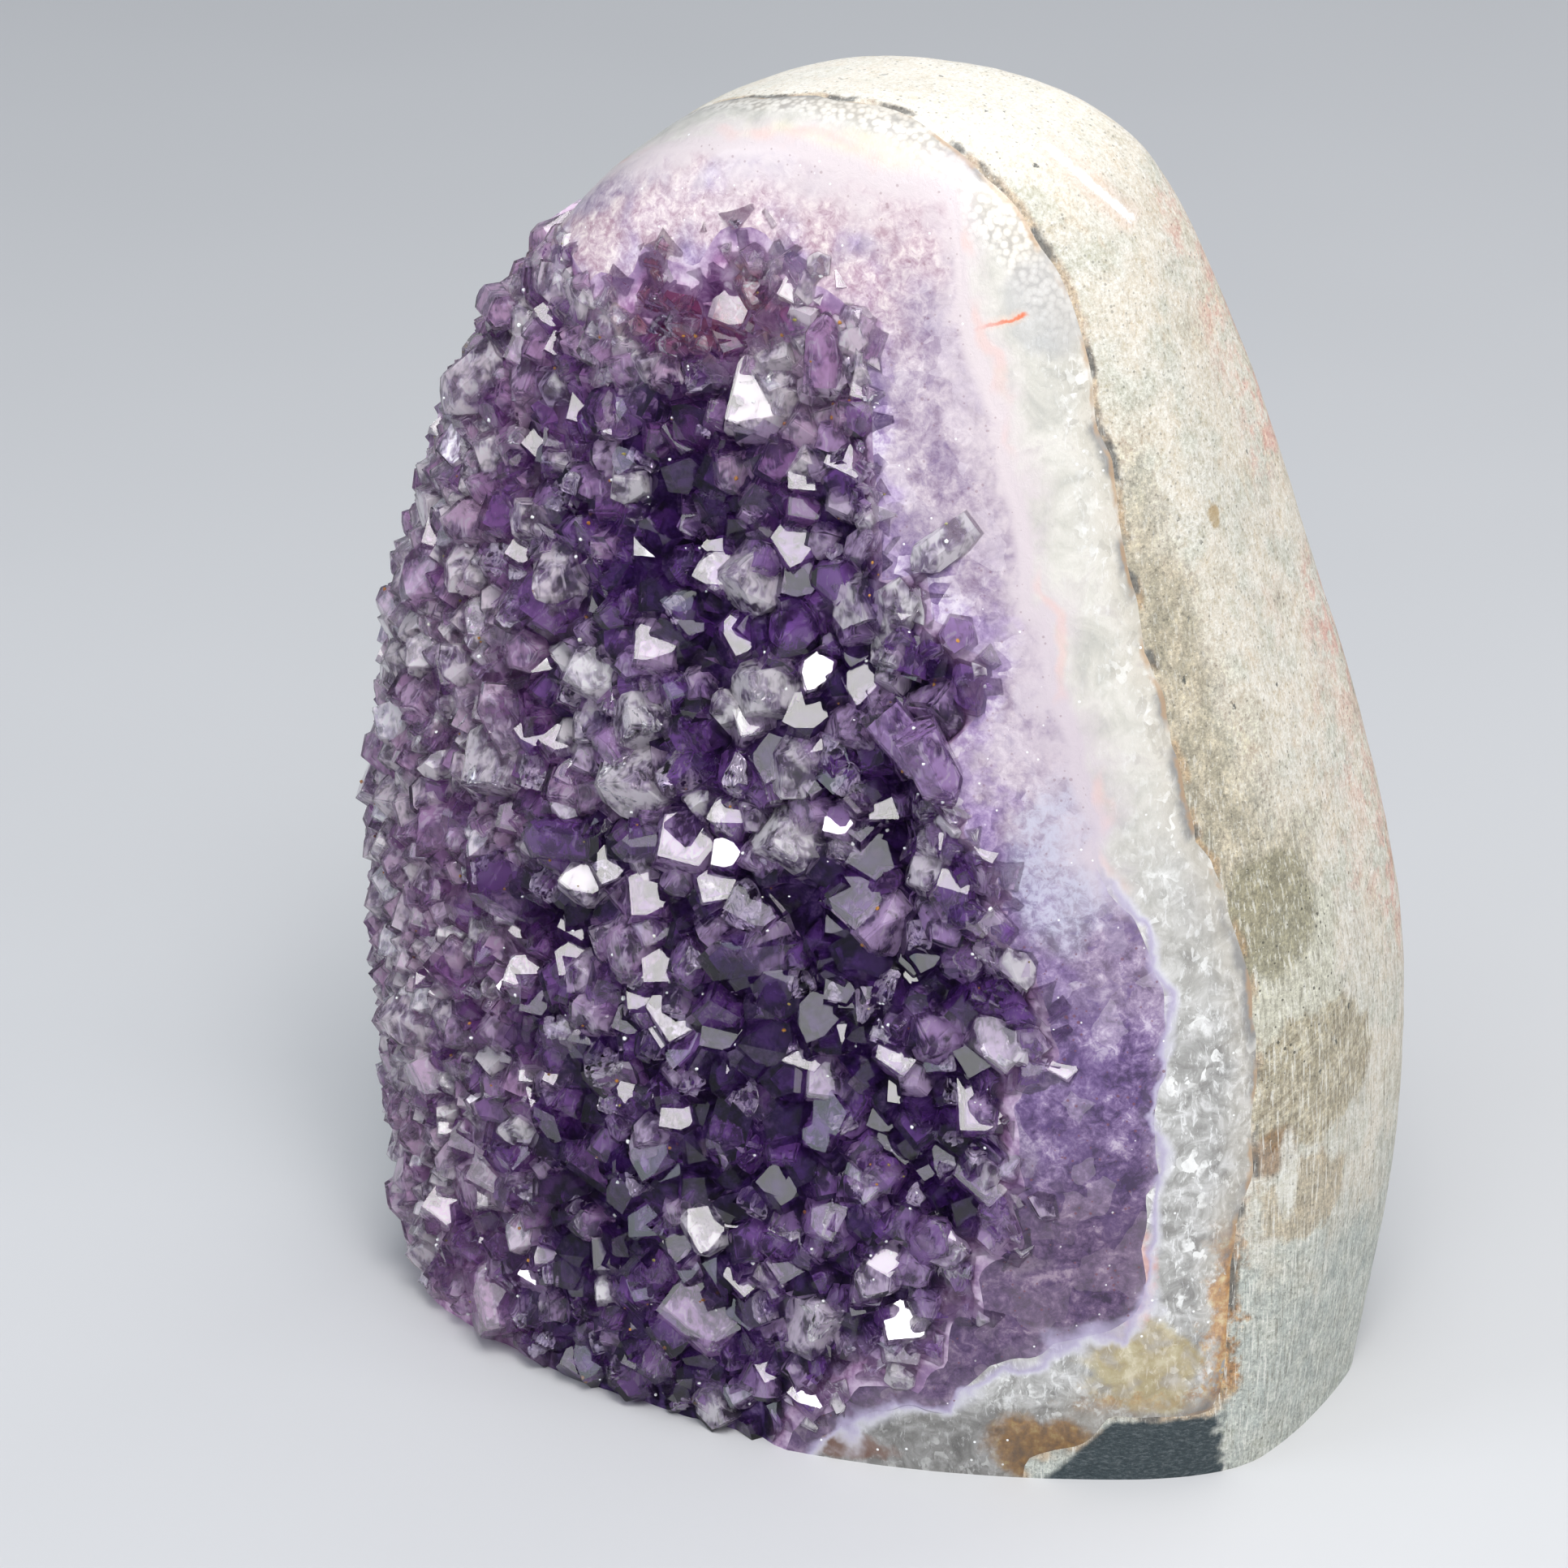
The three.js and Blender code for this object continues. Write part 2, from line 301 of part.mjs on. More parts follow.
const direction = (alpha, beta) => {
  const a = rad(alpha), b = rad(beta);
  return [Math.sin(b) * Math.cos(a), -Math.cos(b), Math.sin(b) * Math.sin(a)];
};
const along = (d, r) => [CENTRE[0] + d[0] * r, CENTRE[1] + d[1] * r, CENTRE[2] + d[2] * r];

// Distance from CENTRE to the outside of the specimen, before the base is cut.
const cache = new Map();
function outer(alpha, beta) {
  const key = `${alpha.toFixed(4)},${beta.toFixed(4)}`;
  if (cache.has(key)) return cache.get(key);
  const d = direction(alpha, beta);
  let lo = 0, hi = 200;
  for (let i = 0; i < 40; i++) {
    const m = (lo + hi) / 2;
    const [x, y, z] = along(d, m);
    if (Math.max(body(x, y, z), -UNDER - z) < 0) lo = m; else hi = m;
  }
  cache.set(key, lo);
  return lo;
}

// Distance from CENTRE to a buried contact; outside the outline it leaves the specimen.
function bowl(alpha, beta, edge, shape) {
  const over = beta - edge(alpha);
  const f = over < 0 ? 1 + Math.min((-over * shape.depth) / shape.turn, 0.22)
    : 1 - shape.depth * (1 - Math.exp(-over / shape.turn));
  const r = outer(alpha, beta) * f;
  const d = direction(alpha, beta);
  const nd = 0.863 * d[1] - 0.505 * d[2];
  const slope = 0.863 * (shape.footY - CENTRE[1]) + 0.505 * CENTRE[2];
  return nd > 1e-3 ? blendMin(r, slope / nd, 5) : r;
}

// Depth of the crystal floor below the polished surface.
function floorDepth(alpha, beta) {
  const r = outer(alpha, beta);
  const inside = rad(edgeA(alpha) - beta) * r;
  if (inside <= 0) return 0;
  const [x, , z] = along(direction(alpha, beta), r);
  let extra = 0;
  for (const [cx, cz, sx, sz, depth] of HOLLOWS) extra += depth * Math.exp(-(((x - cx) / sx) ** 2) - ((z - cz) / sz) ** 2);
  return (DRUSE_DEPTH + 0.9 * extra) * smooth(inside / DRUSE_EDGE);
}

// How far the middle of two points lies from CENTRE.
const reach = (p, q) => Math.hypot(...CENTRE.map((c, k) => (p[k] + q[k]) / 2 - c));

// Closed surface from a front or outer pole, rings of SEGMENTS points and an end pole.
function closedSurface(start, rings, end) {
  const position = [...start];
  for (const ring of rings) for (const p of ring) position.push(...p);
  position.push(...end);
  const last = position.length / 3 - 1;
  const index = [];
  for (let i = 0; i < SEGMENTS; i++) {
    const j = (i + 1) % SEGMENTS;
    index.push(0, 1 + i, 1 + j);
    for (let k = 0; k + 1 < rings.length; k++) {
      const a = 1 + k * SEGMENTS, b = a + SEGMENTS;
      // each four-sided patch is folded along the diagonal that bulges, so rounded faces stay convex
      // and two contacts that face each other stay parallel
      if (reach(rings[k][i], rings[k + 1][j]) > reach(rings[k + 1][i], rings[k][j])) index.push(a + i, b + i, b + j, a + i, b + j, a + j);
      else index.push(a + i, b + i, a + j, a + j, b + i, b + j);
    }
    const a = 1 + (rings.length - 1) * SEGMENTS;
    index.push(a + j, a + i, last);
  }
  let volume = 0;
  for (let t = 0; t < index.length; t += 3) {
    const [p, q, r] = [0, 1, 2].map((k) => position.slice(index[t + k] * 3, index[t + k] * 3 + 3));
    volume += p[0] * (q[1] * r[2] - q[2] * r[1]) - p[1] * (q[0] * r[2] - q[2] * r[0]) + p[2] * (q[0] * r[1] - q[1] * r[0]);
  }
  if (volume < 0) for (let t = 0; t < index.length; t += 3) [index[t + 1], index[t + 2]] = [index[t + 2], index[t + 1]];
  const geometry = new THREE.BufferGeometry();
  geometry.setAttribute('position', new THREE.Float32BufferAttribute(position, 3));
  geometry.setIndex(index);
  return geometry;
}

function solid(geometry) {
  let g = geometry;
  g.deleteAttribute('normal');
  g.deleteAttribute('uv');
  g = mergeVertices(g, 1e-4);
  return new wasm.Manifold(new wasm.Mesh({
    numProp: 3,
    vertProperties: new Float32Array(g.attributes.position.array),
    triVerts: new Uint32Array(g.index.array),
  }));
}

function toGeometry(manifold) {
  const mesh = manifold.getMesh();
  const geometry = new THREE.BufferGeometry();
  geometry.setAttribute('position', new THREE.BufferAttribute(new Float32Array(mesh.vertProperties), 3));
  geometry.setIndex(new THREE.BufferAttribute(new Uint32Array(mesh.triVerts), 1));
  return geometry;
}

const angles = Array.from({ length: SEGMENTS }, (_, i) => (i * 360) / SEGMENTS);
// One ring: the angle from the face axis and the distance, both functions of the angle around it.
const ring = (beta, distance) => angles.map((a) => { const b = beta(a); return along(direction(a, b), distance(a, b)); });
const between = (from, to, shares) => shares.map((s) => (a) => from(a) + (to(a) - from(a)) * s);
const back = () => 180;
const edgeC = (a) => outline(ROCK_EDGE, a);
const edgeB = (a) => Math.min(outline(VIOLET_EDGE, a), edgeC(a) - 2.5);
const edgeA = (a) => Math.min(outline(CRYSTAL_EDGE, a), edgeB(a) - 1.2);
// The same outlines moved inwards by the clearance.
const slack = (shape, a, b) => (1.45 * GAP * shape.turn) / (shape.depth * outer(a, b));
const edgeC2 = (a) => edgeC(a) - slack(ROCK_BOWL, a, edgeC(a));
const edgeB2 = (a) => edgeB(a) - slack(VIOLET_BOWL, a, edgeB(a));
const rockBowl = (a, b) => bowl(a, b, edgeC, ROCK_BOWL);
const violetBowl = (a, b) => bowl(a, b, edgeB, VIOLET_BOWL);
const INNER = [0.08, 0.22, 0.43, 0.72];

// ------------------------------------------------------------- basalt matrix
const base = solid(new THREE.BoxGeometry(400, 400, 200).translate(0, 0, 100));
const rockGeometry = closedSurface(
  along(direction(0, 180), outer(0, 180)),
  [
    ...between(edgeC, back, [0.9, 0.76, 0.63, 0.5, 0.38, 0.27, 0.17, 0.08]).map((b) => ring(b, outer)),
    ring(edgeC, outer),
    ...between(edgeC, back, INNER).map((b) => ring(b, rockBowl)),
  ],
  along(direction(0, 180), rockBowl(0, 180)),
);
const rock = solid(rockGeometry).intersect(base);

// --------------------------------------------------------------- quartz band
const quartzGeometry = closedSurface(
  along(direction(0, 180), rockBowl(0, 180) - 1.45 * GAP),
  [
    ...between(edgeC, back, [...INNER].reverse()).map((b) => ring(b, (a, t) => rockBowl(a, t) - 1.45 * GAP)),
    ring(edgeC2, outer),
    ...between(edgeC2, edgeB, [0.5]).map((b) => ring(b, outer)),
    ring(edgeB, outer),
    ...between(edgeB, back, INNER).map((b) => ring(b, violetBowl)),
  ],
  along(direction(0, 180), violetBowl(0, 180)),
);
const quartz = solid(quartzGeometry).intersect(base);

// ------------------------------------------------------------ amethyst druse
const face = (a, b) => outer(a, b) - floorDepth(a, b);
const violetGeometry = closedSurface(
  along(direction(0, 0), face(0, 0)),
  [
    ...between(() => 0, edgeA, [0.18, 0.36, 0.54, 0.7, 0.83, 0.93]).map((b) => ring(b, face)),
    ring(edgeA, outer),
    ring(edgeB2, outer),
    ...between(edgeB, back, INNER).map((b) => ring(b, (a, t) => violetBowl(a, t) - 1.45 * GAP)),
  ],
  along(direction(0, 180), violetBowl(0, 180) - 1.45 * GAP),
);
// Room that the violet layer may fill, open to the front.
const roomGeometry = closedSurface(
  along(direction(0, 0), outer(0, 0) * 1.22),
  [
    ...between(() => 0, edgeB2, [0.25, 0.5, 0.7, 0.85, 0.93]).map((b) => ring(b, (a, t) => violetBowl(a, t) - 1.45 * GAP)),
    ring(edgeB2, outer),
    ...between(edgeB, back, INNER).map((b) => ring(b, (a, t) => violetBowl(a, t) - 1.45 * GAP)),
  ],
  along(direction(0, 180), violetBowl(0, 180) - 1.45 * GAP),
);

// A quartz crystal as the space inside its prism, major and minor tip faces.
function crystal([tx, ty, tz, ax, ay, az, turn, width, minor]) {
  const tip = new THREE.Vector3(tx, ty, tz);
  const axis = new THREE.Vector3(ax, ay, az).normalize();
  const ref = Math.abs(axis.z) < 0.9 ? new THREE.Vector3(0, 0, 1) : new THREE.Vector3(1, 0, 0);
  const e1 = ref.addScaledVector(axis, -ref.dot(axis)).normalize();
  const e2 = new THREE.Vector3().crossVectors(axis, e1);
  const planes = [];
  const c = Math.cos(rad(QUARTZ_ANGLE)), s = Math.sin(rad(QUARTZ_ANGLE));
  for (let k = 0; k < 6; k++) {
    const t = rad(turn + 60 * k);
    const side = e1.clone().multiplyScalar(Math.cos(t)).addScaledVector(e2, Math.sin(t));
    planes.push([side, width / 2]);
    if (k % 2 && width < THREE_FACED) continue;
    planes.push([side.clone().multiplyScalar(s).addScaledVector(axis, c), k % 2 ? minor * width * c : 0]);
  }
  planes.push([axis.clone().negate(), 1.25 * width + 3]);
  const points = [];
  for (let i = 0; i < planes.length; i++) for (let j = i + 1; j < planes.length; j++) for (let k = j + 1; k < planes.length; k++) {
    const [n1, d1] = planes[i], [n2, d2] = planes[j], [n3, d3] = planes[k];
    const n23 = new THREE.Vector3().crossVectors(n2, n3);
    const det = n1.dot(n23);
    if (Math.abs(det) < 1e-5) continue;
    const p = n23.multiplyScalar(d1)
      .addScaledVector(new THREE.Vector3().crossVectors(n3, n1), d2)
      .addScaledVector(new THREE.Vector3().crossVectors(n1, n2), d3).divideScalar(det);
    if (planes.every(([n, d]) => n.dot(p) <= d + 1e-6) && !points.some((q) => q.distanceTo(p) < 1e-4)) points.push(p);
  }
  return solid(new ConvexGeometry(points.map((p) => p.add(tip))));
}

let parts = CRYSTALS.filter((row) => row[7] >= SMALLEST_CRYSTAL).map(crystal);
while (parts.length > 1) {
  const next = [];
  for (let i = 0; i < parts.length; i += 2) next.push(i + 1 < parts.length ? parts[i].add(parts[i + 1]) : parts[i]);
  parts = next;
}
const druse = solid(violetGeometry).add(parts[0].intersect(solid(roomGeometry))).intersect(base);

// --------------------------------------------------------------------- model
// The origin is the middle of the specimen's footprint box, on the base.
const pieces = [
  ['basalt_matrix', rock, { color: 0xa29a8b, roughness: 0.72, metalness: 0 }],
  ['quartz_band', quartz, { color: 0xe9e4e2, roughness: 0.28, metalness: 0 }],
  ['amethyst_druse', druse, { color: 0x6b4a95, roughness: 0.12, metalness: 0 }],
];
const box = new THREE.Box3();
const geometries = pieces.map(([, m]) => toGeometry(m));
for (const g of geometries) { g.computeBoundingBox(); box.union(g.boundingBox); }
const shift = [-(box.min.x + box.max.x) / 2, -(box.min.y + box.max.y) / 2];

const geode = new THREE.Group();
geode.name = 'amethyst_geode';
pieces.forEach(([name, , look], i) => {
  const geometry = geometries[i].translate(shift[0], shift[1], 0);
  geometry.computeVertexNormals();
  const mesh = new THREE.Mesh(geometry, new THREE.MeshStandardMaterial({ ...look, flatShading: true }));
  mesh.name = name;
  geode.add(mesh);
});

export default geode;
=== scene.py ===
import itertools
import math

import bpy
import numpy as np
from mathutils import Matrix, Vector


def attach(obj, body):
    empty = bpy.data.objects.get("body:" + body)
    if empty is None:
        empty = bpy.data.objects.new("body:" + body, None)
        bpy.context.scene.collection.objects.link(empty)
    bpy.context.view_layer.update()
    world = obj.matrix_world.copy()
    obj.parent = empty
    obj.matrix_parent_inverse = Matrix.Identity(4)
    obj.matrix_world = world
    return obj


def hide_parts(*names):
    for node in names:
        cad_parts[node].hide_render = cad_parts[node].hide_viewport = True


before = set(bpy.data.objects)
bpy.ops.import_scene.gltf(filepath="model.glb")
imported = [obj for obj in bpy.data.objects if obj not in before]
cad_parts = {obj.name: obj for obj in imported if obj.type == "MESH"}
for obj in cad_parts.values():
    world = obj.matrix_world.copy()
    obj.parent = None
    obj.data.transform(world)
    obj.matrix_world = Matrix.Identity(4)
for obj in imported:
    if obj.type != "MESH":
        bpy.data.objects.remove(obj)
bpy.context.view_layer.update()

# Amethyst geode: a cut-base section of an amethyst cavity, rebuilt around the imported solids.
# Shapes are worked out in millimetres from an inner point of the specimen and then moved by
# SHIFT into the shared frame. Every surface below is the same surface as in the solids, only finer.
MM = 0.001
SHIFT = np.array([8.33254623, 3.49324036, 0.0])

HEIGHT = 116.0
FOOT_BLEND = 28.0
CENTRE = np.array([-9.0, -2.0, 52.0])
UNDER = 40.0
DRUSE_DEPTH = 2.5
DRUSE_EDGE = 4.5
QUARTZ_ANGLE = math.radians(51.8)

X_RIGHT = [-4.5, 4.99, 12.45, 17.08, 20.65, 24.5, 28.5, 33.28, 37.52, 38.42, 36.35]
X_LEFT = [-4.5, -14.3, -22.93, -30.51, -37.66, -45.43, -50.36, -53.76, -55.01, -53.09, -47.09]
Y_BACK = [1.77, 5.45, 8.93, 12.26, 15.61, 18.93, 21.86, 23.94, 24.51, 22.83, 18.54]
Y_WIDEST = [1, 2, 2, 2, 3, 4, 5, 6, 6, 5, 2]
FACE = (-30.22, -0.0399, 0.001634, 0.007, -7.38)

# Outlines on the specimen as (angle around the face, angle from the face axis) in degrees.
CRYSTAL_EDGE = [
    (1, 46.2), (10.1, 45), (18.9, 42.1), (23.8, 43.8), (34.6, 42.1), (39.6, 45.4), (41, 50.4), (48.1, 55.1),
    (51.6, 54.3), (59.3, 55.6), (63.7, 57.9), (69, 54.6), (73.2, 59.6), (77, 64.7), (78.7, 67.6), (81.7, 71.3),
    (83.5, 72.1), (85.1, 72.6), (88.9, 73.2), (92.5, 75.5), (95.5, 75.1), (100.2, 74.4), (105.9, 75.8), (109.3, 75.3),
    (112.6, 75.7), (118.8, 82.5), (126, 85.5), (133, 87.5), (140, 87), (150, 86.2), (160, 85.6), (170, 84.8),
    (180, 84.4), (190, 83), (200, 82.4), (210, 81), (220, 80.4), (230, 79), (240, 80.5), (248, 81), (256, 79),
    (263, 74), (269, 68), (273, 63.5), (276.6, 60.6), (279.5, 60), (283.2, 59.3), (290.8, 60.2), (295, 60.1),
    (296.7, 58.8), (301.2, 59.1), (303.5, 57.2), (307.4, 57.7), (310.9, 58.1), (313.5, 56.2), (316.8, 56),
    (319.1, 54.3), (324.7, 51.8), (328.2, 51.3), (333.3, 52.1), (338.7, 52.5), (345.6, 50.6), (351, 48.3),
    (355.5, 43.5),
]
VIOLET_EDGE = [
    (0.6, 59.8), (4.5, 57.2), (11, 56.3), (14.9, 58.1), (18, 57.7), (24.8, 58.1), (31.8, 58.8), (36.3, 59.4),
    (40.9, 60), (45.7, 61.9), (49.7, 61.8), (53.2, 64.1), (56.9, 66.1), (60, 67.9), (63.8, 69.3), (65.2, 71.1),
    (67.7, 71.8), (70.4, 72.9), (71.9, 73.8), (73.4, 75), (76, 77.5), (77.8, 79.1), (83.7, 77.9), (87, 78.1),
    (90.5, 78.8), (94.5, 79.5), (98.2, 79.9), (102.3, 80.6), (108.5, 83.3), (114, 86), (120, 88), (128, 91), (138, 91),
    (150, 90), (165, 89.5), (180, 88.6), (195, 88), (210, 86.5), (225, 85), (238, 85), (250, 84.5), (260, 80),
    (268, 73), (274, 66), (279.6, 60.9), (282.4, 60.5), (288, 61.1), (290, 61.2), (293.1, 62.3), (295.2, 61.5),
    (299.4, 61.6), (303.1, 63.2), (305.9, 63.6), (310.9, 66), (313.4, 66.9), (317, 67), (319.6, 65.7), (324.8, 64.7),
    (327.3, 65.5), (330.8, 64.6), (334.6, 63.6), (338.9, 63.6), (345.5, 63), (350.7, 62.5), (354.5, 61.5),
]
ROCK_EDGE = [
    (2.4, 70.3), (6.8, 69.2), (9.9, 67.9), (11.4, 68.3), (16.5, 68.4), (22.5, 68.6), (27.1, 68.9), (30.9, 69.2),
    (35.3, 69.2), (40.6, 70.8), (45.2, 71.6), (50.6, 73.5), (54.2, 75), (57.3, 75.6), (60.2, 77.4), (63, 78.5),
    (65.5, 79.1), (67.8, 79.7), (70.2, 79.9), (72.5, 80.5), (75.7, 81), (78.5, 81.8), (82.2, 82.4), (84.9, 83),
    (87, 83.3), (89.8, 83.4), (91.6, 84.2), (96.1, 84.8), (102.2, 88.1), (108, 91), (115, 94.5), (125, 97),
    (138, 97.5), (150, 97), (165, 96), (180, 95), (195, 94.5), (210, 93.5), (225, 92.5), (240, 91.5), (252, 90),
    (262, 87), (270, 83), (278, 78), (286, 73.5), (292, 69.5), (297.3, 66.8), (300.7, 67.9), (303.5, 68.8),
    (305.7, 69.2), (308.5, 71.4), (311.1, 74.3), (312.7, 74.6), (314.7, 74.2), (318.2, 73.6), (320.6, 73.4),
    (323.8, 73.1), (327.3, 72.8), (330.5, 73.4), (335.1, 72.9), (340.9, 73.1), (346.6, 72.4), (352.5, 71.8),
    (357.4, 70.8),
]
VIOLET_BOWL = (0.85, 45.0, -16.0)
ROCK_BOWL = (0.64, 45.0, -9.0)

# Hollows in the crystal floor: x, z, half widths, depth.
HOLLOWS = [(-17.6, 84.7, 6.5, 9, 3.4), (-2, 77.9, 4, 6, 1.8), (5.3, 56.3, 4.5, 9, 2.6), (0.6, 31.2, 8, 6.5, 2.8),
           (-26.3, 14.4, 6.5, 5, 2.6), (9.1, 23.2, 5, 5, 1.8), (-4.9, 42.8, 4.5, 5, 1.6)]

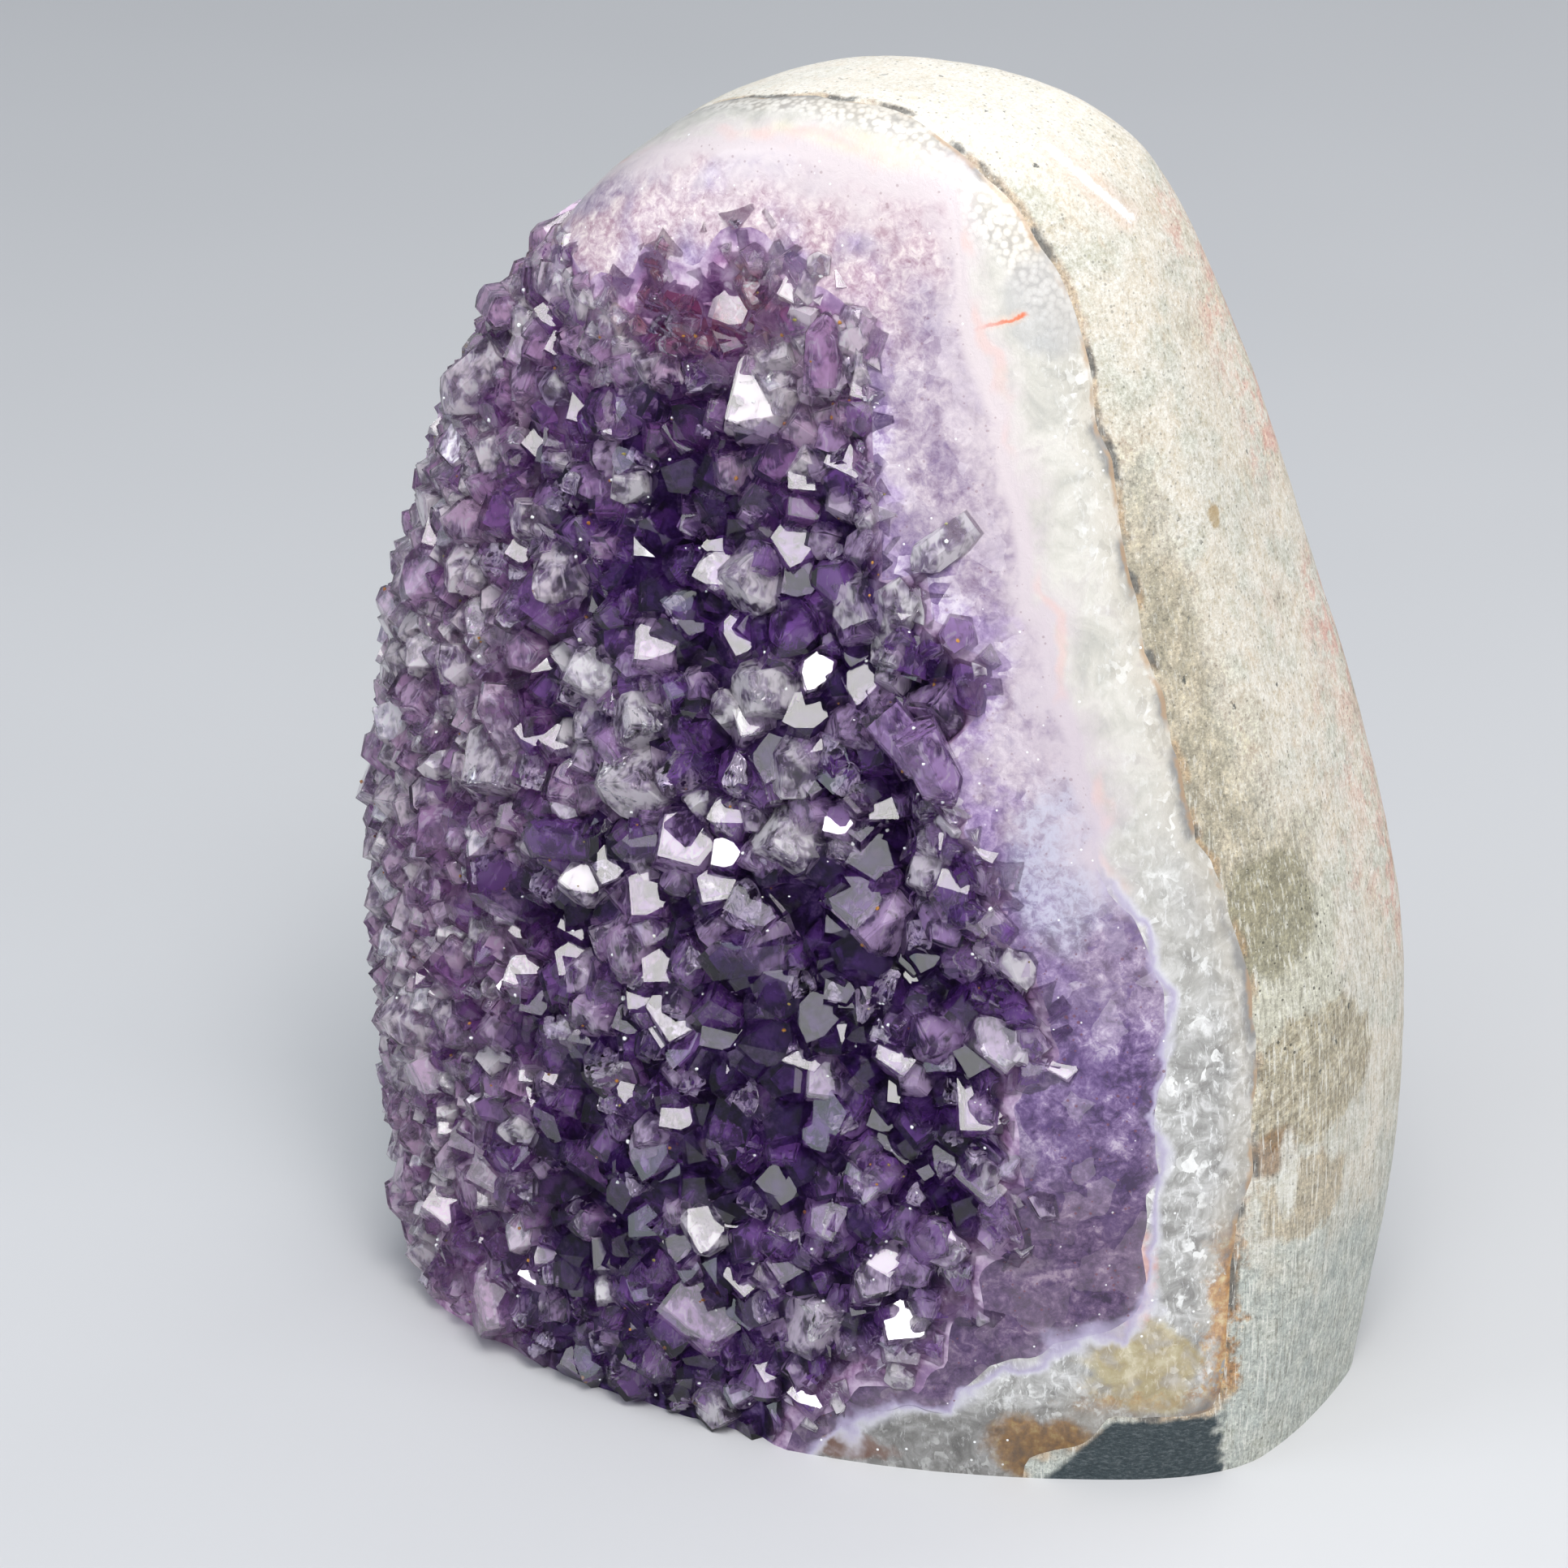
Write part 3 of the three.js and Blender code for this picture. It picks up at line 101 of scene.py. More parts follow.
# The larger crystals: tip, axis, turn about the axis, width, share of the minor faces, and
# how the crystal looks inside (0 dark, 1 purple, 2 pale, 3 milky).
CRYSTALS = [
    (-34.5, -14, 94.9, -0.51, -0.68, 0.52, 57, 3.8, 0.25, 1), (-42.8, -10.9, 89.3, -0.52, -0.79, 0.32, 73, 3.3, 0.28, 1),
    (-32.6, -15.6, 92.2, -0.36, -0.89, 0.26, 69, 2.9, 0.29, 1), (-29.4, -18, 87.6, -0.29, -0.96, 0.06, 75, 4.4, 0.38, 1),
    (-34.2, -16.2, 87.4, -0.64, -0.63, 0.44, 56, 4, 0.21, 1), (-34.5, -15.7, 91.5, -0.26, -0.96, 0.08, 57, 4, 0.12, 2),
    (-27.1, -17.6, 93.1, -0.18, -0.98, 0.03, 28, 4.2, 0.23, 2), (-26.4, -18.8, 82.2, -0.32, -0.94, 0.1, 77, 6.2, 0.41, 0),
    (-26.1, -19.9, 79.5, -0.26, -0.96, 0.12, 72, 7.3, 0.35, 0), (-32.5, -18.7, 77.8, -0.52, -0.69, 0.51, 63, 4.5, 0.33, 0),
    (-34.9, -19.1, 74.7, -0.41, -0.87, 0.27, 68, 3.5, 0.38, 1), (-22.3, -20.6, 76.7, -0.14, -0.99, -0.02, 83, 7.9, 0.29, 0),
    (-15.8, -20.9, 78.9, -0.5, -0.81, 0.3, 66, 3.3, 0.37, 1), (-38.8, -19, 66.6, -0.1, -0.99, -0.08, 92, 4, 0.32, 1),
    (-41.5, -19, 61.5, 0.01, -1, 0.01, 94, 4.8, 0.3, 1), (-20.2, -24.9, 69.5, -0.17, -0.98, 0.08, 83, 5.2, 0.17, 2),
    (-30.9, -22.1, 72.5, -0.32, -0.94, -0.1, 114, 6.7, 0.05, 3), (-27.2, -24.2, 66.3, -0.32, -0.94, 0.1, 62, 5.8, 0.11, 3),
    (-46.8, -15.6, 66.8, -0.36, -0.9, -0.26, 112, 6.4, 0.24, 2), (-16.2, -18.7, 98.2, -0.41, -0.91, 0.11, 76, 5.8, 0.23, 2),
    (-12.3, -18.3, 99.9, 0.19, -0.98, -0.11, 105, 4, 0.14, 2), (-13.5, -21.2, 91, -0.32, -0.94, 0.06, 76, 8.6, 0.25, 3),
    (-7.5, -21.6, 85.9, -0.17, -0.99, -0.02, 83, 4.5, 0.33, 1), (-4.6, -21, 88.2, -0.4, -0.91, 0.15, 71, 4.8, 0.26, 1),
    (-2.7, -20, 94.2, -0.3, -0.95, 0.12, 76, 4.8, 0.37, 1), (-7.3, -22.2, 83.4, -0.07, -0.99, 0.1, 79, 4, 0.36, 1),
    (-6.8, -22.8, 79, 0.21, -0.96, -0.18, 107, 4.7, 0.27, 1), (-11.6, -23.9, 78.5, -0.15, -0.91, 0.38, 40, 7.1, 0.19, 3),
    (-7.7, -23.5, 73, -0.29, -0.96, 0.03, 80, 4.5, 0.33, 0), (-0.9, -22.1, 74.8, 0.38, -0.91, -0.18, 120, 3.6, 0.41, 0),
    (-4.4, -24.8, 69.5, 0.03, -0.99, -0.12, 93, 4, 0.26, 1), (-1.1, -23.1, 71.2, 0.15, -0.98, -0.13, 112, 3.1, 0.29, 0),
    (3.4, -23.3, 76.4, 0.25, -0.94, -0.24, 107, 4.8, 0.33, 1), (-35.5, -21.9, 59, -0.03, -1, -0.08, 89, 4.8, 0.29, 1),
    (-32.9, -22.4, 59.9, -0.53, -0.68, 0.5, 60, 4, 0.25, 1), (-29.9, -23.2, 60, -0.48, -0.72, 0.51, 59, 3.1, 0.31, 1),
    (-19.9, -26.2, 63.8, 0.1, -0.98, 0.17, 87, 5.8, 0.19, 3), (-38.3, -22.4, 53.6, -0.67, -0.7, -0.27, 95, 7.3, 0.21, 3),
    (-31.3, -23.6, 55.4, 0.06, -0.97, -0.24, 48, 4.4, 0.28, 1), (-30, -23.6, 52.7, -0.61, -0.75, 0.24, 65, 3.5, 0.4, 0),
    (-34.4, -23.2, 50.7, -0.3, -0.95, -0.03, 73, 3.6, 0.31, 1), (-23.3, -26.6, 58.5, -0.6, -0.79, 0.12, 112, 7.1, 0.17, 3),
    (-17.7, -26.6, 59.7, -0.36, -0.93, -0.05, 114, 6, 0.24, 1), (-16.6, -28.4, 53.5, -0.22, -0.97, 0.08, 76, 5.8, 0.26, 2),
    (-19.2, -28.1, 47.6, -0.07, -1, -0.05, 85, 5.1, 0.35, 1), (-26.8, -26.6, 48.6, -0.47, -0.84, 0.27, 64, 4.2, 0.14, 3),
    (-36.6, -23.4, 43.7, -0.14, -0.99, -0.03, 89, 4.4, 0.3, 1), (-32.8, -24.2, 41.7, -0.51, -0.77, 0.38, 70, 3.8, 0.28, 0),
    (-27.4, -25.7, 43.6, -0.38, -0.88, 0.29, 73, 3.6, 0.32, 0), (-32.5, -26.1, 37.8, -0.34, -0.93, 0.16, 74, 4.2, 0.3, 2),
    (-26.5, -27.1, 39.7, -0.07, -1, -0.07, 94, 4.4, 0.34, 1), (-19.9, -28.6, 41.1, 0.03, -0.83, -0.55, 53, 4.8, 0.11, 2),
    (-15.3, -29.1, 36.6, 0.23, -0.96, -0.13, 110, 6, 0.28, 0), (-12.4, -28.2, 49.8, 0.02, -0.99, -0.13, 91, 4.1, 0.38, 1),
    (-11.8, -27.7, 53.6, -0.21, -0.97, 0.09, 79, 3.3, 0.32, 1), (-9.1, -29.6, 46.1, -0.08, -0.99, 0.12, 31, 7.6, 0.16, 2),
    (-42.7, -21.6, 35.2, -0.75, -0.61, 0.25, 76, 6.9, 0.21, 1), (-47, -17.7, 52.3, -0.31, -0.95, 0.06, 51, 5.1, 0.11, 2),
    (-6.5, -25.3, 66.2, -0.39, -0.9, 0.19, 72, 4.8, 0.28, 0), (2.8, -24.6, 66.9, -0.1, -0.99, -0.04, 78, 4.2, 0.34, 1),
    (-3.4, -26.1, 60.4, 0.28, -0.96, -0.05, 115, 3.8, 0.27, 0), (1.2, -24.5, 58.7, -0.17, -0.98, -0.11, 88, 4.5, 0.39, 0),
    (1.1, -25.4, 56.9, 0.46, -0.89, -0.05, 3, 4.7, 0.42, 0), (-0.5, -25.5, 54.9, -0.29, -0.93, 0.24, 62, 4.8, 0.27, 0),
    (-8.9, -25.9, 70.5, -0.01, -0.81, 0.59, 15, 5.8, 0.16, 3), (-5.9, -28.7, 56.3, -0.03, -0.97, 0.23, 57, 6.9, 0.11, 3),
    (-10.5, -28.3, 50, -0.3, -0.89, 0.34, 73, 6.2, 0.28, 0), (0.8, -27.1, 49.6, 0.4, -0.87, -0.29, 119, 5.4, 0.24, 1),
    (2.4, -28, 49.1, 0.07, -1, 0.02, 16, 7.6, 0.09, 2), (6, -25.7, 45.9, 0.36, -0.89, -0.26, 3, 2.9, 0.41, 0),
    (6.9, -26.3, 44, 0.3, -0.93, -0.2, 114, 3.8, 0.39, 0), (7.8, -25.3, 57.5, -0.18, -0.98, 0.01, 86, 3.6, 0.37, 1),
    (9.6, -25.5, 55.6, -0.07, -0.97, 0.25, 11, 5.4, 0.31, 1), (6.9, -24.9, 70.3, -0.01, -0.96, 0.3, 38, 7.9, 0.25, 2),
    (13.1, -26.4, 44.9, 0.04, -0.96, 0.29, 62, 6.4, 0.18, 1), (15.1, -26.8, 38.7, 0.43, -0.85, -0.3, 3, 6.7, 0.14, 2),
    (2.7, -25.1, 63.9, 0.43, -0.89, 0.16, 58, 5.5, 0.16, 1), (-44.2, -21.9, 25.6, -0.42, -0.72, 0.56, 50, 4.8, 0.22, 2),
    (-33.6, -24.9, 28.9, -0.26, -0.96, -0.02, 77, 3.6, 0.3, 0), (-23.3, -28.8, 32.3, -0.46, -0.85, 0.25, 1, 7.3, 0.24, 1),
    (-29.6, -26.5, 25.7, 0.05, -1, -0.07, 94, 4, 0.38, 0), (-15.9, -29.9, 28.8, -0.24, -0.97, 0.03, 81, 4.5, 0.33, 1),
    (-39.6, -23.8, 18.8, -0.35, -0.94, 0.07, 74, 4.5, 0.26, 1), (-34.5, -24.6, 22.5, -0.09, -0.99, -0.12, 90, 2.9, 0.34, 0),
    (-31.5, -25.9, 22.4, -0.22, -0.98, 0.01, 87, 3.8, 0.36, 0), (-25.4, -28.8, 22.5, -0.32, -0.94, 0.1, 48, 7.1, 0.19, 1),
    (-37.2, -25.3, 16.9, -0.39, -0.91, 0.18, 68, 4.8, 0.24, 2), (-42.7, -23.2, 12, -0.45, -0.84, 0.3, 67, 5.1, 0.3, 2),
    (-34.9, -27.2, 3.5, 0.03, -0.98, -0.17, 91, 8.1, 0.2, 2), (-25.8, -25.7, 13.3, 0.06, -0.98, -0.16, 101, 3.2, 0.41, 0),
    (-27, -25.2, 11.1, -0.32, -0.94, 0.1, 81, 3.3, 0.36, 0), (-11.5, -31.4, 18.4, 0.15, -0.97, -0.18, 106, 5.2, 0.11, 3),
    (-15.6, -31.5, 12.1, -0.47, -0.84, 0.28, 62, 8.9, 0.2, 2), (-22.6, -29.1, 9.8, -0.2, -0.98, -0.03, 92, 5.2, 0.08, 3),
    (-26.4, -28.3, 2.8, -0.34, -0.91, 0.22, 67, 4.4, 0.21, 1), (-19.8, -29.6, 4.9, -0.39, -0.91, 0.16, 71, 4.1, 0.22, 1),
    (-24.2, -28.7, 1.5, -0.15, -0.97, -0.21, 117, 5.1, 0.28, 1), (8.2, -28.5, 40.9, 0.16, -0.98, 0.08, 103, 6.7, 0.16, 2),
    (-5.2, -27.9, 36.6, -0.3, -0.95, 0.12, 75, 4.4, 0.31, 0), (-2.6, -28.7, 33.8, -0.16, -0.98, -0.06, 78, 5.4, 0.16, 2),
    (4.2, -27.2, 34.5, -0.2, -0.98, 0.01, 81, 3.8, 0.37, 0), (11, -28, 33.4, -0.12, -0.99, -0.02, 86, 7.1, 0.37, 1),
    (-5.7, -28.2, 27.7, 0.15, -0.98, -0.11, 103, 4.4, 0.37, 0), (-8.1, -28.9, 27, 0.36, -0.93, -0.09, 109, 3.6, 0.28, 0),
    (5.4, -26.7, 28.2, 0.45, -0.84, -0.3, 119, 4.5, 0.44, 0), (14.1, -27.8, 26.7, 0.35, -0.93, -0.15, 3, 6.4, 0.37, 1),
    (14.2, -27.8, 22.3, -0.14, -0.97, 0.22, 71, 4.7, 0.33, 1), (2.5, -28.8, 20.9, 0.33, -0.92, -0.19, 114, 6.7, 0.32, 0),
    (-9.7, -30, 20.4, -0.23, -0.97, 0.03, 87, 4.1, 0.34, 0), (-9, -30.1, 16.9, 0.08, -0.99, 0.1, 70, 4.8, 0.2, 0),
    (-4.2, -30.5, 16.4, 0.25, -0.94, -0.25, 109, 3.8, 0.32, 1), (2.3, -30.2, 14.5, -0.1, -0.99, -0.09, 103, 4.7, 0.33, 1),
    (5.3, -28.8, 16.9, 0.03, -0.96, -0.27, 90, 4, 0.21, 1), (0.1, -31.2, 14.3, 0.4, -0.81, 0.44, 92, 6.7, 0.1, 3),
    (5.7, -30.4, 12.9, -0.04, -1, -0.02, 92, 4.8, 0.24, 3), (-5.5, -30.8, 6.5, 0.24, -0.96, -0.11, 103, 4.1, 0.33, 1),
    (13.3, -28.1, 15.6, 0.22, -0.96, 0.2, 89, 3.2, 0.09, 3), (-12.5, -28.8, 37.1, -0.32, -0.95, 0.02, 82, 4.5, 0.31, 0),
    (-23.6, -20.8, 75.6, -0.42, -0.89, 0.18, 117, 4.4, 0.24, 0), (-2.3, -27.5, 46.3, -0.12, -0.97, 0.21, 111, 4.2, 0.22, 0),
    (-3.2, -29, 23.3, 0.16, -0.97, -0.16, 7, 4.5, 0.36, 0), (8.9, -26.4, 25.3, 0.24, -0.87, 0.42, 7, 4.7, 0.35, 0),
    (-23.5, -22.2, 71.4, -0.29, -0.95, -0.13, 25, 3.9, 0.23, 0), (-14, -26, 64.4, 0.07, -0.96, 0.27, 19, 4.8, 0.24, 1),
    (-10.8, -26.8, 60.7, -0.04, -1, 0.06, 51, 4.4, 0.23, 1), (-2.6, -24.9, 65.9, -0.05, -0.61, 0.79, 5, 4.4, 0.27, 0),
    (-40.2, -21.9, 42.2, -0.62, -0.74, 0.27, 96, 5.1, 0.29, 1), (-43.8, -20.2, 45.3, -0.34, -0.81, -0.49, 58, 5.1, 0.14, 2),
    (-46.1, -20.6, 16.9, -0.45, -0.89, 0.07, 22, 4.7, 0.17, 2), (-40.7, -23, 8.8, -0.86, -0.51, 0.05, 84, 5.4, 0.16, 1),
    (-32, -24.6, 15.1, -0.39, -0.92, -0.08, 60, 4.8, 0.28, 0), (-19.3, -28.9, 20.7, -0.07, -1, -0.05, 57, 4.4, 0.24, 0),
    (11.2, -27.8, 20.6, 0.32, -0.64, 0.7, 13, 4.8, 0.2, 1), (-15, -27.7, 46.8, -0.11, -0.99, 0.04, 114, 4.1, 0.37, 0),
    (4.7, -24.3, 52.3, 0.2, -0.94, 0.28, 8, 4.4, 0.37, 0), (-6.1, -27.2, 42.3, -0.03, -0.97, 0.22, 74, 4.8, 0.22, 0),
    (1.6, -27.6, 41.1, -0, -0.83, -0.56, 38, 4.5, 0.37, 0), (-42.4, -14.6, 78.6, -0.1, -0.95, 0.31, 36, 4.5, 0.26, 1),
    (-38.5, -17.3, 76.1, -0.67, -0.73, -0.14, 65, 4.8, 0.32, 1), (-41.7, -16.7, 71.6, -0.34, -0.94, -0.02, 44, 4.4, 0.21, 1),
    (-20.4, -17.9, 96.9, -0.64, -0.73, 0.22, 104, 4.7, 0.22, 2), (-22, -17.7, 91.6, 0.15, -0.91, 0.38, 73, 4.5, 0.19, 1),
    (-17.5, -17.9, 93.8, -0.05, -0.89, 0.46, 65, 3.6, 0.27, 1), (-36.9, -16.3, 83.6, -0.33, -0.92, 0.2, 9, 4.2, 0.19, 1),
    (-6.3, -18.6, 98.8, 0.67, -0.74, 0.03, 49, 4.2, 0.31, 1), (-3.9, -19.1, 97.2, -0.08, -1, 0.01, 36, 3.6, 0.32, 1),
    (-15.8, -19.2, 82.8, -0.2, -0.96, 0.19, 69, 4.4, 0.26, 0), (-2.9, -21, 82.7, 0.04, -0.95, 0.31, 31, 4.2, 0.21, 0),
    (3.1, -23.9, 62, 0.3, -0.95, 0.05, 14, 3.6, 0.24, 0), (-16.6, -25.2, 66.5, 0.07, -0.99, 0.14, 112, 4.2, 0.18, 1),
    (-21.3, -27.7, 36.4, -0.25, -0.96, 0.11, 66, 4.1, 0.26, 0), (-31, -25.2, 34.6, -0.15, -0.82, 0.55, 112, 4.1, 0.22, 0),
    (-37.7, -23.8, 30.8, -0.44, -0.86, 0.27, 115, 4.8, 0.14, 1), (-11.2, -29.6, 24.4, -0.06, -1, 0.03, 14, 4.4, 0.28, 0),
    (-16.2, -29.2, 23.1, -0.37, -0.9, -0.23, 113, 3.8, 0.27, 0), (-28.2, -25.9, 36.6, -0.08, -0.99, 0.11, 59, 3.6, 0.29, 0),
    (-10.4, -30.6, 8.1, 0.32, -0.93, -0.18, 21, 4.8, 0.16, 1), (-1.5, -30.8, 7.5, -0.03, -0.99, 0.14, 38, 4.1, 0.22, 1),
    (-21.1, -29.1, 0.3, -0.25, -0.97, -0.07, 70, 4.1, 0.24, 1), (-12.9, -30.2, 2.5, -0.46, -0.88, -0.07, 45, 4.1, 0.32, 1),
    (-32.2, -26.2, 2.3, -0.45, -0.88, 0.16, 92, 4.4, 0.14, 1),
]


# ------------------------------------------------------------------- helpers
def smooth(t):
    t = np.clip(t, 0, 1)
    return t * t * (3 - 2 * t)


def spline(values, s):
    v = np.array(values, float)
    n = len(v) - 1
    t = np.clip(s, 0, 1) * n
    i = np.minimum(t.astype(int), n - 1)
    u = t - i
    p = np.concatenate([[2 * v[0] - v[1]], v, [2 * v[-1] - v[-2]]])
    p0, p1, p2, p3 = p[i], p[i + 1], p[i + 2], p[i + 3]
    return 0.5 * (2 * p1 + (p2 - p0) * u + (2 * p0 - 5 * p1 + 4 * p2 - p3) * u * u + (3 * p1 - p0 - 3 * p2 + p3) * u**3)


def outline(table, alpha):
    x = np.array([a for a, _ in table], float)
    y = np.array([b for _, b in table], float)
    x = np.concatenate([[x[-1] - 360], x, [x[0] + 360]])
    y = np.concatenate([[y[-1]], y, [y[0]]])
    return np.interp(np.mod(alpha, 360), x, y)


def lattice(i, j, k, seed):
    h = (i * 374761393 + j * 668265263 + k * 1442695041 + seed * 1274126177) & 0xFFFFFFFF
    h = ((h ^ (h >> 13)) * 1274126177) & 0xFFFFFFFF
    h = ((h ^ (h >> 16)) * 668265263) & 0xFFFFFFFF
    return ((h >> 8) & 0xFFFF) / 32767.5 - 1.0


def noise(p, size, seed=0):
    """Smooth noise from -1 to 1 with features of about size millimetres."""
    q = np.asarray(p, float) / size + 1000.0
    i = np.floor(q).astype(np.int64)
    f = q - i
    f = f * f * f * (f * (f * 6 - 15) + 10)
    out = 0
    for a, b, c in itertools.product((0, 1), repeat=3):
        w = (f[..., 0] if a else 1 - f[..., 0]) * (f[..., 1] if b else 1 - f[..., 1]) * (f[..., 2] if c else 1 - f[..., 2])
        out = out + w * lattice(i[..., 0] + a, i[..., 1] + b, i[..., 2] + c, seed)
    return out


def fbm(p, size, octaves=3, seed=0, gain=0.5):
    return sum(gain**o * noise(p, size / 2**o, seed + 17 * o) for o in range(octaves)) / sum(gain**o for o in range(octaves))


def body(p):
    """Distance-like function of the whole specimen, negative inside."""
    x, y, z = p[..., 0], p[..., 1], p[..., 2]
    s = np.minimum(np.sqrt(np.maximum(1 - z / HEIGHT, 1e-9)), 1)
    xr, xl, yb, y0 = (spline(v, s) for v in (X_RIGHT, X_LEFT, Y_BACK, Y_WIDEST))
    xc, hx = (xr + xl) / 2, np.maximum((xr - xl) / 2, 1e-3)
    w = smooth((xc - x) / hx * 0.8 + 0.2)
    y0 = y0 - 14 * s * (2 - s) * w
    hb, hf = np.maximum(yb - y0, 1e-3), np.maximum((yb + 1) * 2.2, 1e-3)
    pe = 2.3 + 0.5 * w
    u, vb, vf = np.abs(x - xc) / hx, np.maximum(y - y0, 0) / hb, np.maximum(y0 - y, 0) / hf
    g = (u**pe + vb**pe + vf**pe) ** (1 / pe)
    dome = (g - 1) * np.minimum(hx, yb + 8)
    a0, a1, a2, c, x0 = FACE
    front = (a0 + a1 * z + a2 * z * z + c * (x - x0) ** 2 - y) / np.sqrt(1 + (2 * c * (x - x0)) ** 2 + (a1 + 2 * a2 * z) ** 2)
    k = 3.2 + 3.8 * smooth(z / FOOT_BLEND)
    h = np.maximum(k - np.abs(dome - front), 0) / k
    return np.maximum(dome, front) + h * h * k * 0.25


def gradient(p, e=0.25):
    g = np.stack([body(p + e * v) - body(p - e * v) for v in np.eye(3)], -1)
    return g / np.linalg.norm(g, axis=-1, keepdims=True)


def direction(alpha, beta):
    a, b = np.radians(alpha), np.radians(beta)
    return np.stack([np.sin(b) * np.cos(a), -np.cos(b) + 0 * a, np.sin(b) * np.sin(a)], -1)


def outer(alpha, beta):
    d = direction(alpha, beta)
    lo = np.zeros(d.shape[:-1])
    hi = lo + 200
    for _ in range(30):
        m = (lo + hi) / 2
        p = CENTRE + d * m[..., None]
        inside = np.maximum(body(p), -UNDER - p[..., 2]) < 0
        lo, hi = np.where(inside, m, lo), np.where(inside, hi, m)
    return lo


def wobble(alpha, seed, amount):
    a = np.radians(alpha)
    p = np.stack([np.cos(a) * 50, np.sin(a) * 50, 0 * a], -1)
    return amount * (noise(p, 5.0, seed) + 0.6 * noise(p, 2.2, seed + 1))


def edge_c(alpha):
    return outline(ROCK_EDGE, alpha) + wobble(alpha, 3, 0.28)


def edge_b(alpha):
    return np.minimum(outline(VIOLET_EDGE, alpha) + wobble(alpha, 7, 0.45), edge_c(alpha) - 2.2)


def edge_a(alpha):
    return np.minimum(outline(CRYSTAL_EDGE, alpha) + wobble(alpha, 11, 0.9), edge_b(alpha) - 1.0)


def bowl(alpha, beta, edge, shape):
    depth, turn, foot = shape
    over = beta - edge(alpha)
    f = np.where(over < 0, 1 + np.minimum(-over * depth / turn, 0.22), 1 - depth * (1 - np.exp(-np.maximum(over, 0) / turn)))
    r = outer(alpha, beta) * f
    d = direction(alpha, beta)
    nd = 0.863 * d[..., 1] - 0.505 * d[..., 2]
    slope = (0.863 * (foot - CENTRE[1]) + 0.505 * CENTRE[2]) / np.maximum(nd, 1e-3)
    k = 5.0
    h = np.maximum(k - np.abs(r - slope), 0) / k
    return np.where(nd > 1e-3, np.minimum(r, slope) - h * h * k * 0.25, r)


def hollow(x, z):
    return sum(d * np.exp(-(((x - cx) / sx) ** 2) - ((z - cz) / sz) ** 2) for cx, cz, sx, sz, d in HOLLOWS)


def floor_depth(alpha, beta, r=None):
    r = outer(alpha, beta) if r is None else r
    inside = np.radians(edge_a(alpha) - beta) * r
    p = CENTRE + direction(alpha, beta) * r[..., None]
    return (DRUSE_DEPTH + 0.9 * hollow(p[..., 0], p[..., 2])) * smooth(inside / DRUSE_EDGE)


def angles_of(p):
    d = p - CENTRE
    return np.degrees(np.arctan2(d[..., 2], d[..., 0])), np.degrees(np.arctan2(np.hypot(d[..., 0], d[..., 2]), -d[..., 1]))


# -------------------------------------------------------------------- meshes
def mesh_object(name, verts, faces, to_frame=True):
    v = (np.asarray(verts) + SHIFT) * MM if to_frame else np.asarray(verts)
    me = bpy.data.meshes.new(name)
    me.from_pydata(v.tolist(), [], faces)
    me.validate()
    me.update()
    ob = bpy.data.objects.new(name, me)
    bpy.context.scene.collection.objects.link(ob)
    return ob


def coords(ob):
    """Vertex positions in millimetres, from the inner point's own frame."""
    co = np.empty(len(ob.data.vertices) * 3)
    ob.data.vertices.foreach_get("co", co)
    return co.reshape(-1, 3) / MM - SHIFT


def volume(v, faces):
    f = np.array(faces)
    a, b, c = v[f[:, 0]], v[f[:, 1]], v[f[:, 2]]
    s = np.einsum("ij,ij->", a, np.cross(b, c))
    if f.shape[1] == 4:
        d = v[f[:, 3]]
        s += np.einsum("ij,ij->", a, np.cross(c, d))
    return s / 6


def ring_object(name, start, rings, end):
    """A closed surface from a pole, rings of equal length and an end pole."""
    n = len(rings[0])
    v = np.vstack([start[None], *rings, end[None]])
    i = np.arange(n)
    j = (i + 1) % n
    tris = np.stack([0 * i, 1 + i, 1 + j], 1).tolist()
    quads = []
    for k in range(len(rings) - 1):
        a, b = 1 + k * n, 1 + (k + 1) * n
        quads.append(np.stack([a + i, b + i, b + j, a + j], 1))
    quads = np.concatenate(quads)
    a = 1 + (len(rings) - 1) * n
    tail = np.stack([a + j, a + i, 0 * i + len(v) - 1], 1).tolist()
    total = volume(v, tris) + volume(v, quads) + volume(v, tail)
    faces = tris + quads.tolist() + tail
    if total < 0:
        faces = [f[::-1] for f in faces]
    return mesh_object(name, v, faces)


def apply_boolean(ob, other, operation):
    m = ob.modifiers.new("cut", "BOOLEAN")
    m.operation = operation
    m.solver = "MANIFOLD"
    m.object = other
    graph = bpy.context.evaluated_depsgraph_get()
    made = bpy.data.meshes.new_from_object(ob.evaluated_get(graph))
    ob.modifiers.clear()
    old = ob.data
    ob.data = made
    bpy.data.meshes.remove(old)
    return ob


def drop(ob):
    me = ob.data
    bpy.data.objects.remove(ob)
    bpy.data.meshes.remove(me)


def block(lo, hi):
    x, y, z = zip(lo, hi)
    v = [(x[a], y[b], z[c]) for a in (0, 1) for b in (0, 1) for c in (0, 1)]
    f = [(0, 1, 3, 2), (4, 6, 7, 5), (0, 4, 5, 1), (2, 3, 7, 6), (0, 2, 6, 4), (1, 5, 7, 3)]
    return mesh_object("block", v, f)


STEPS = 480
ALPHA = np.arange(STEPS) * 360.0 / STEPS
EDGE_A, EDGE_B, EDGE_C = edge_a(ALPHA), edge_b(ALPHA), edge_c(ALPHA)


def ring(beta, distance):
    return CENTRE + direction(ALPHA, beta) * distance[:, None]


def spread(lo, hi, shares):
    return [lo + (hi - lo) * s for s in shares]


def mm_inside(edge, beta, r):
    return np.radians(edge - beta) * r


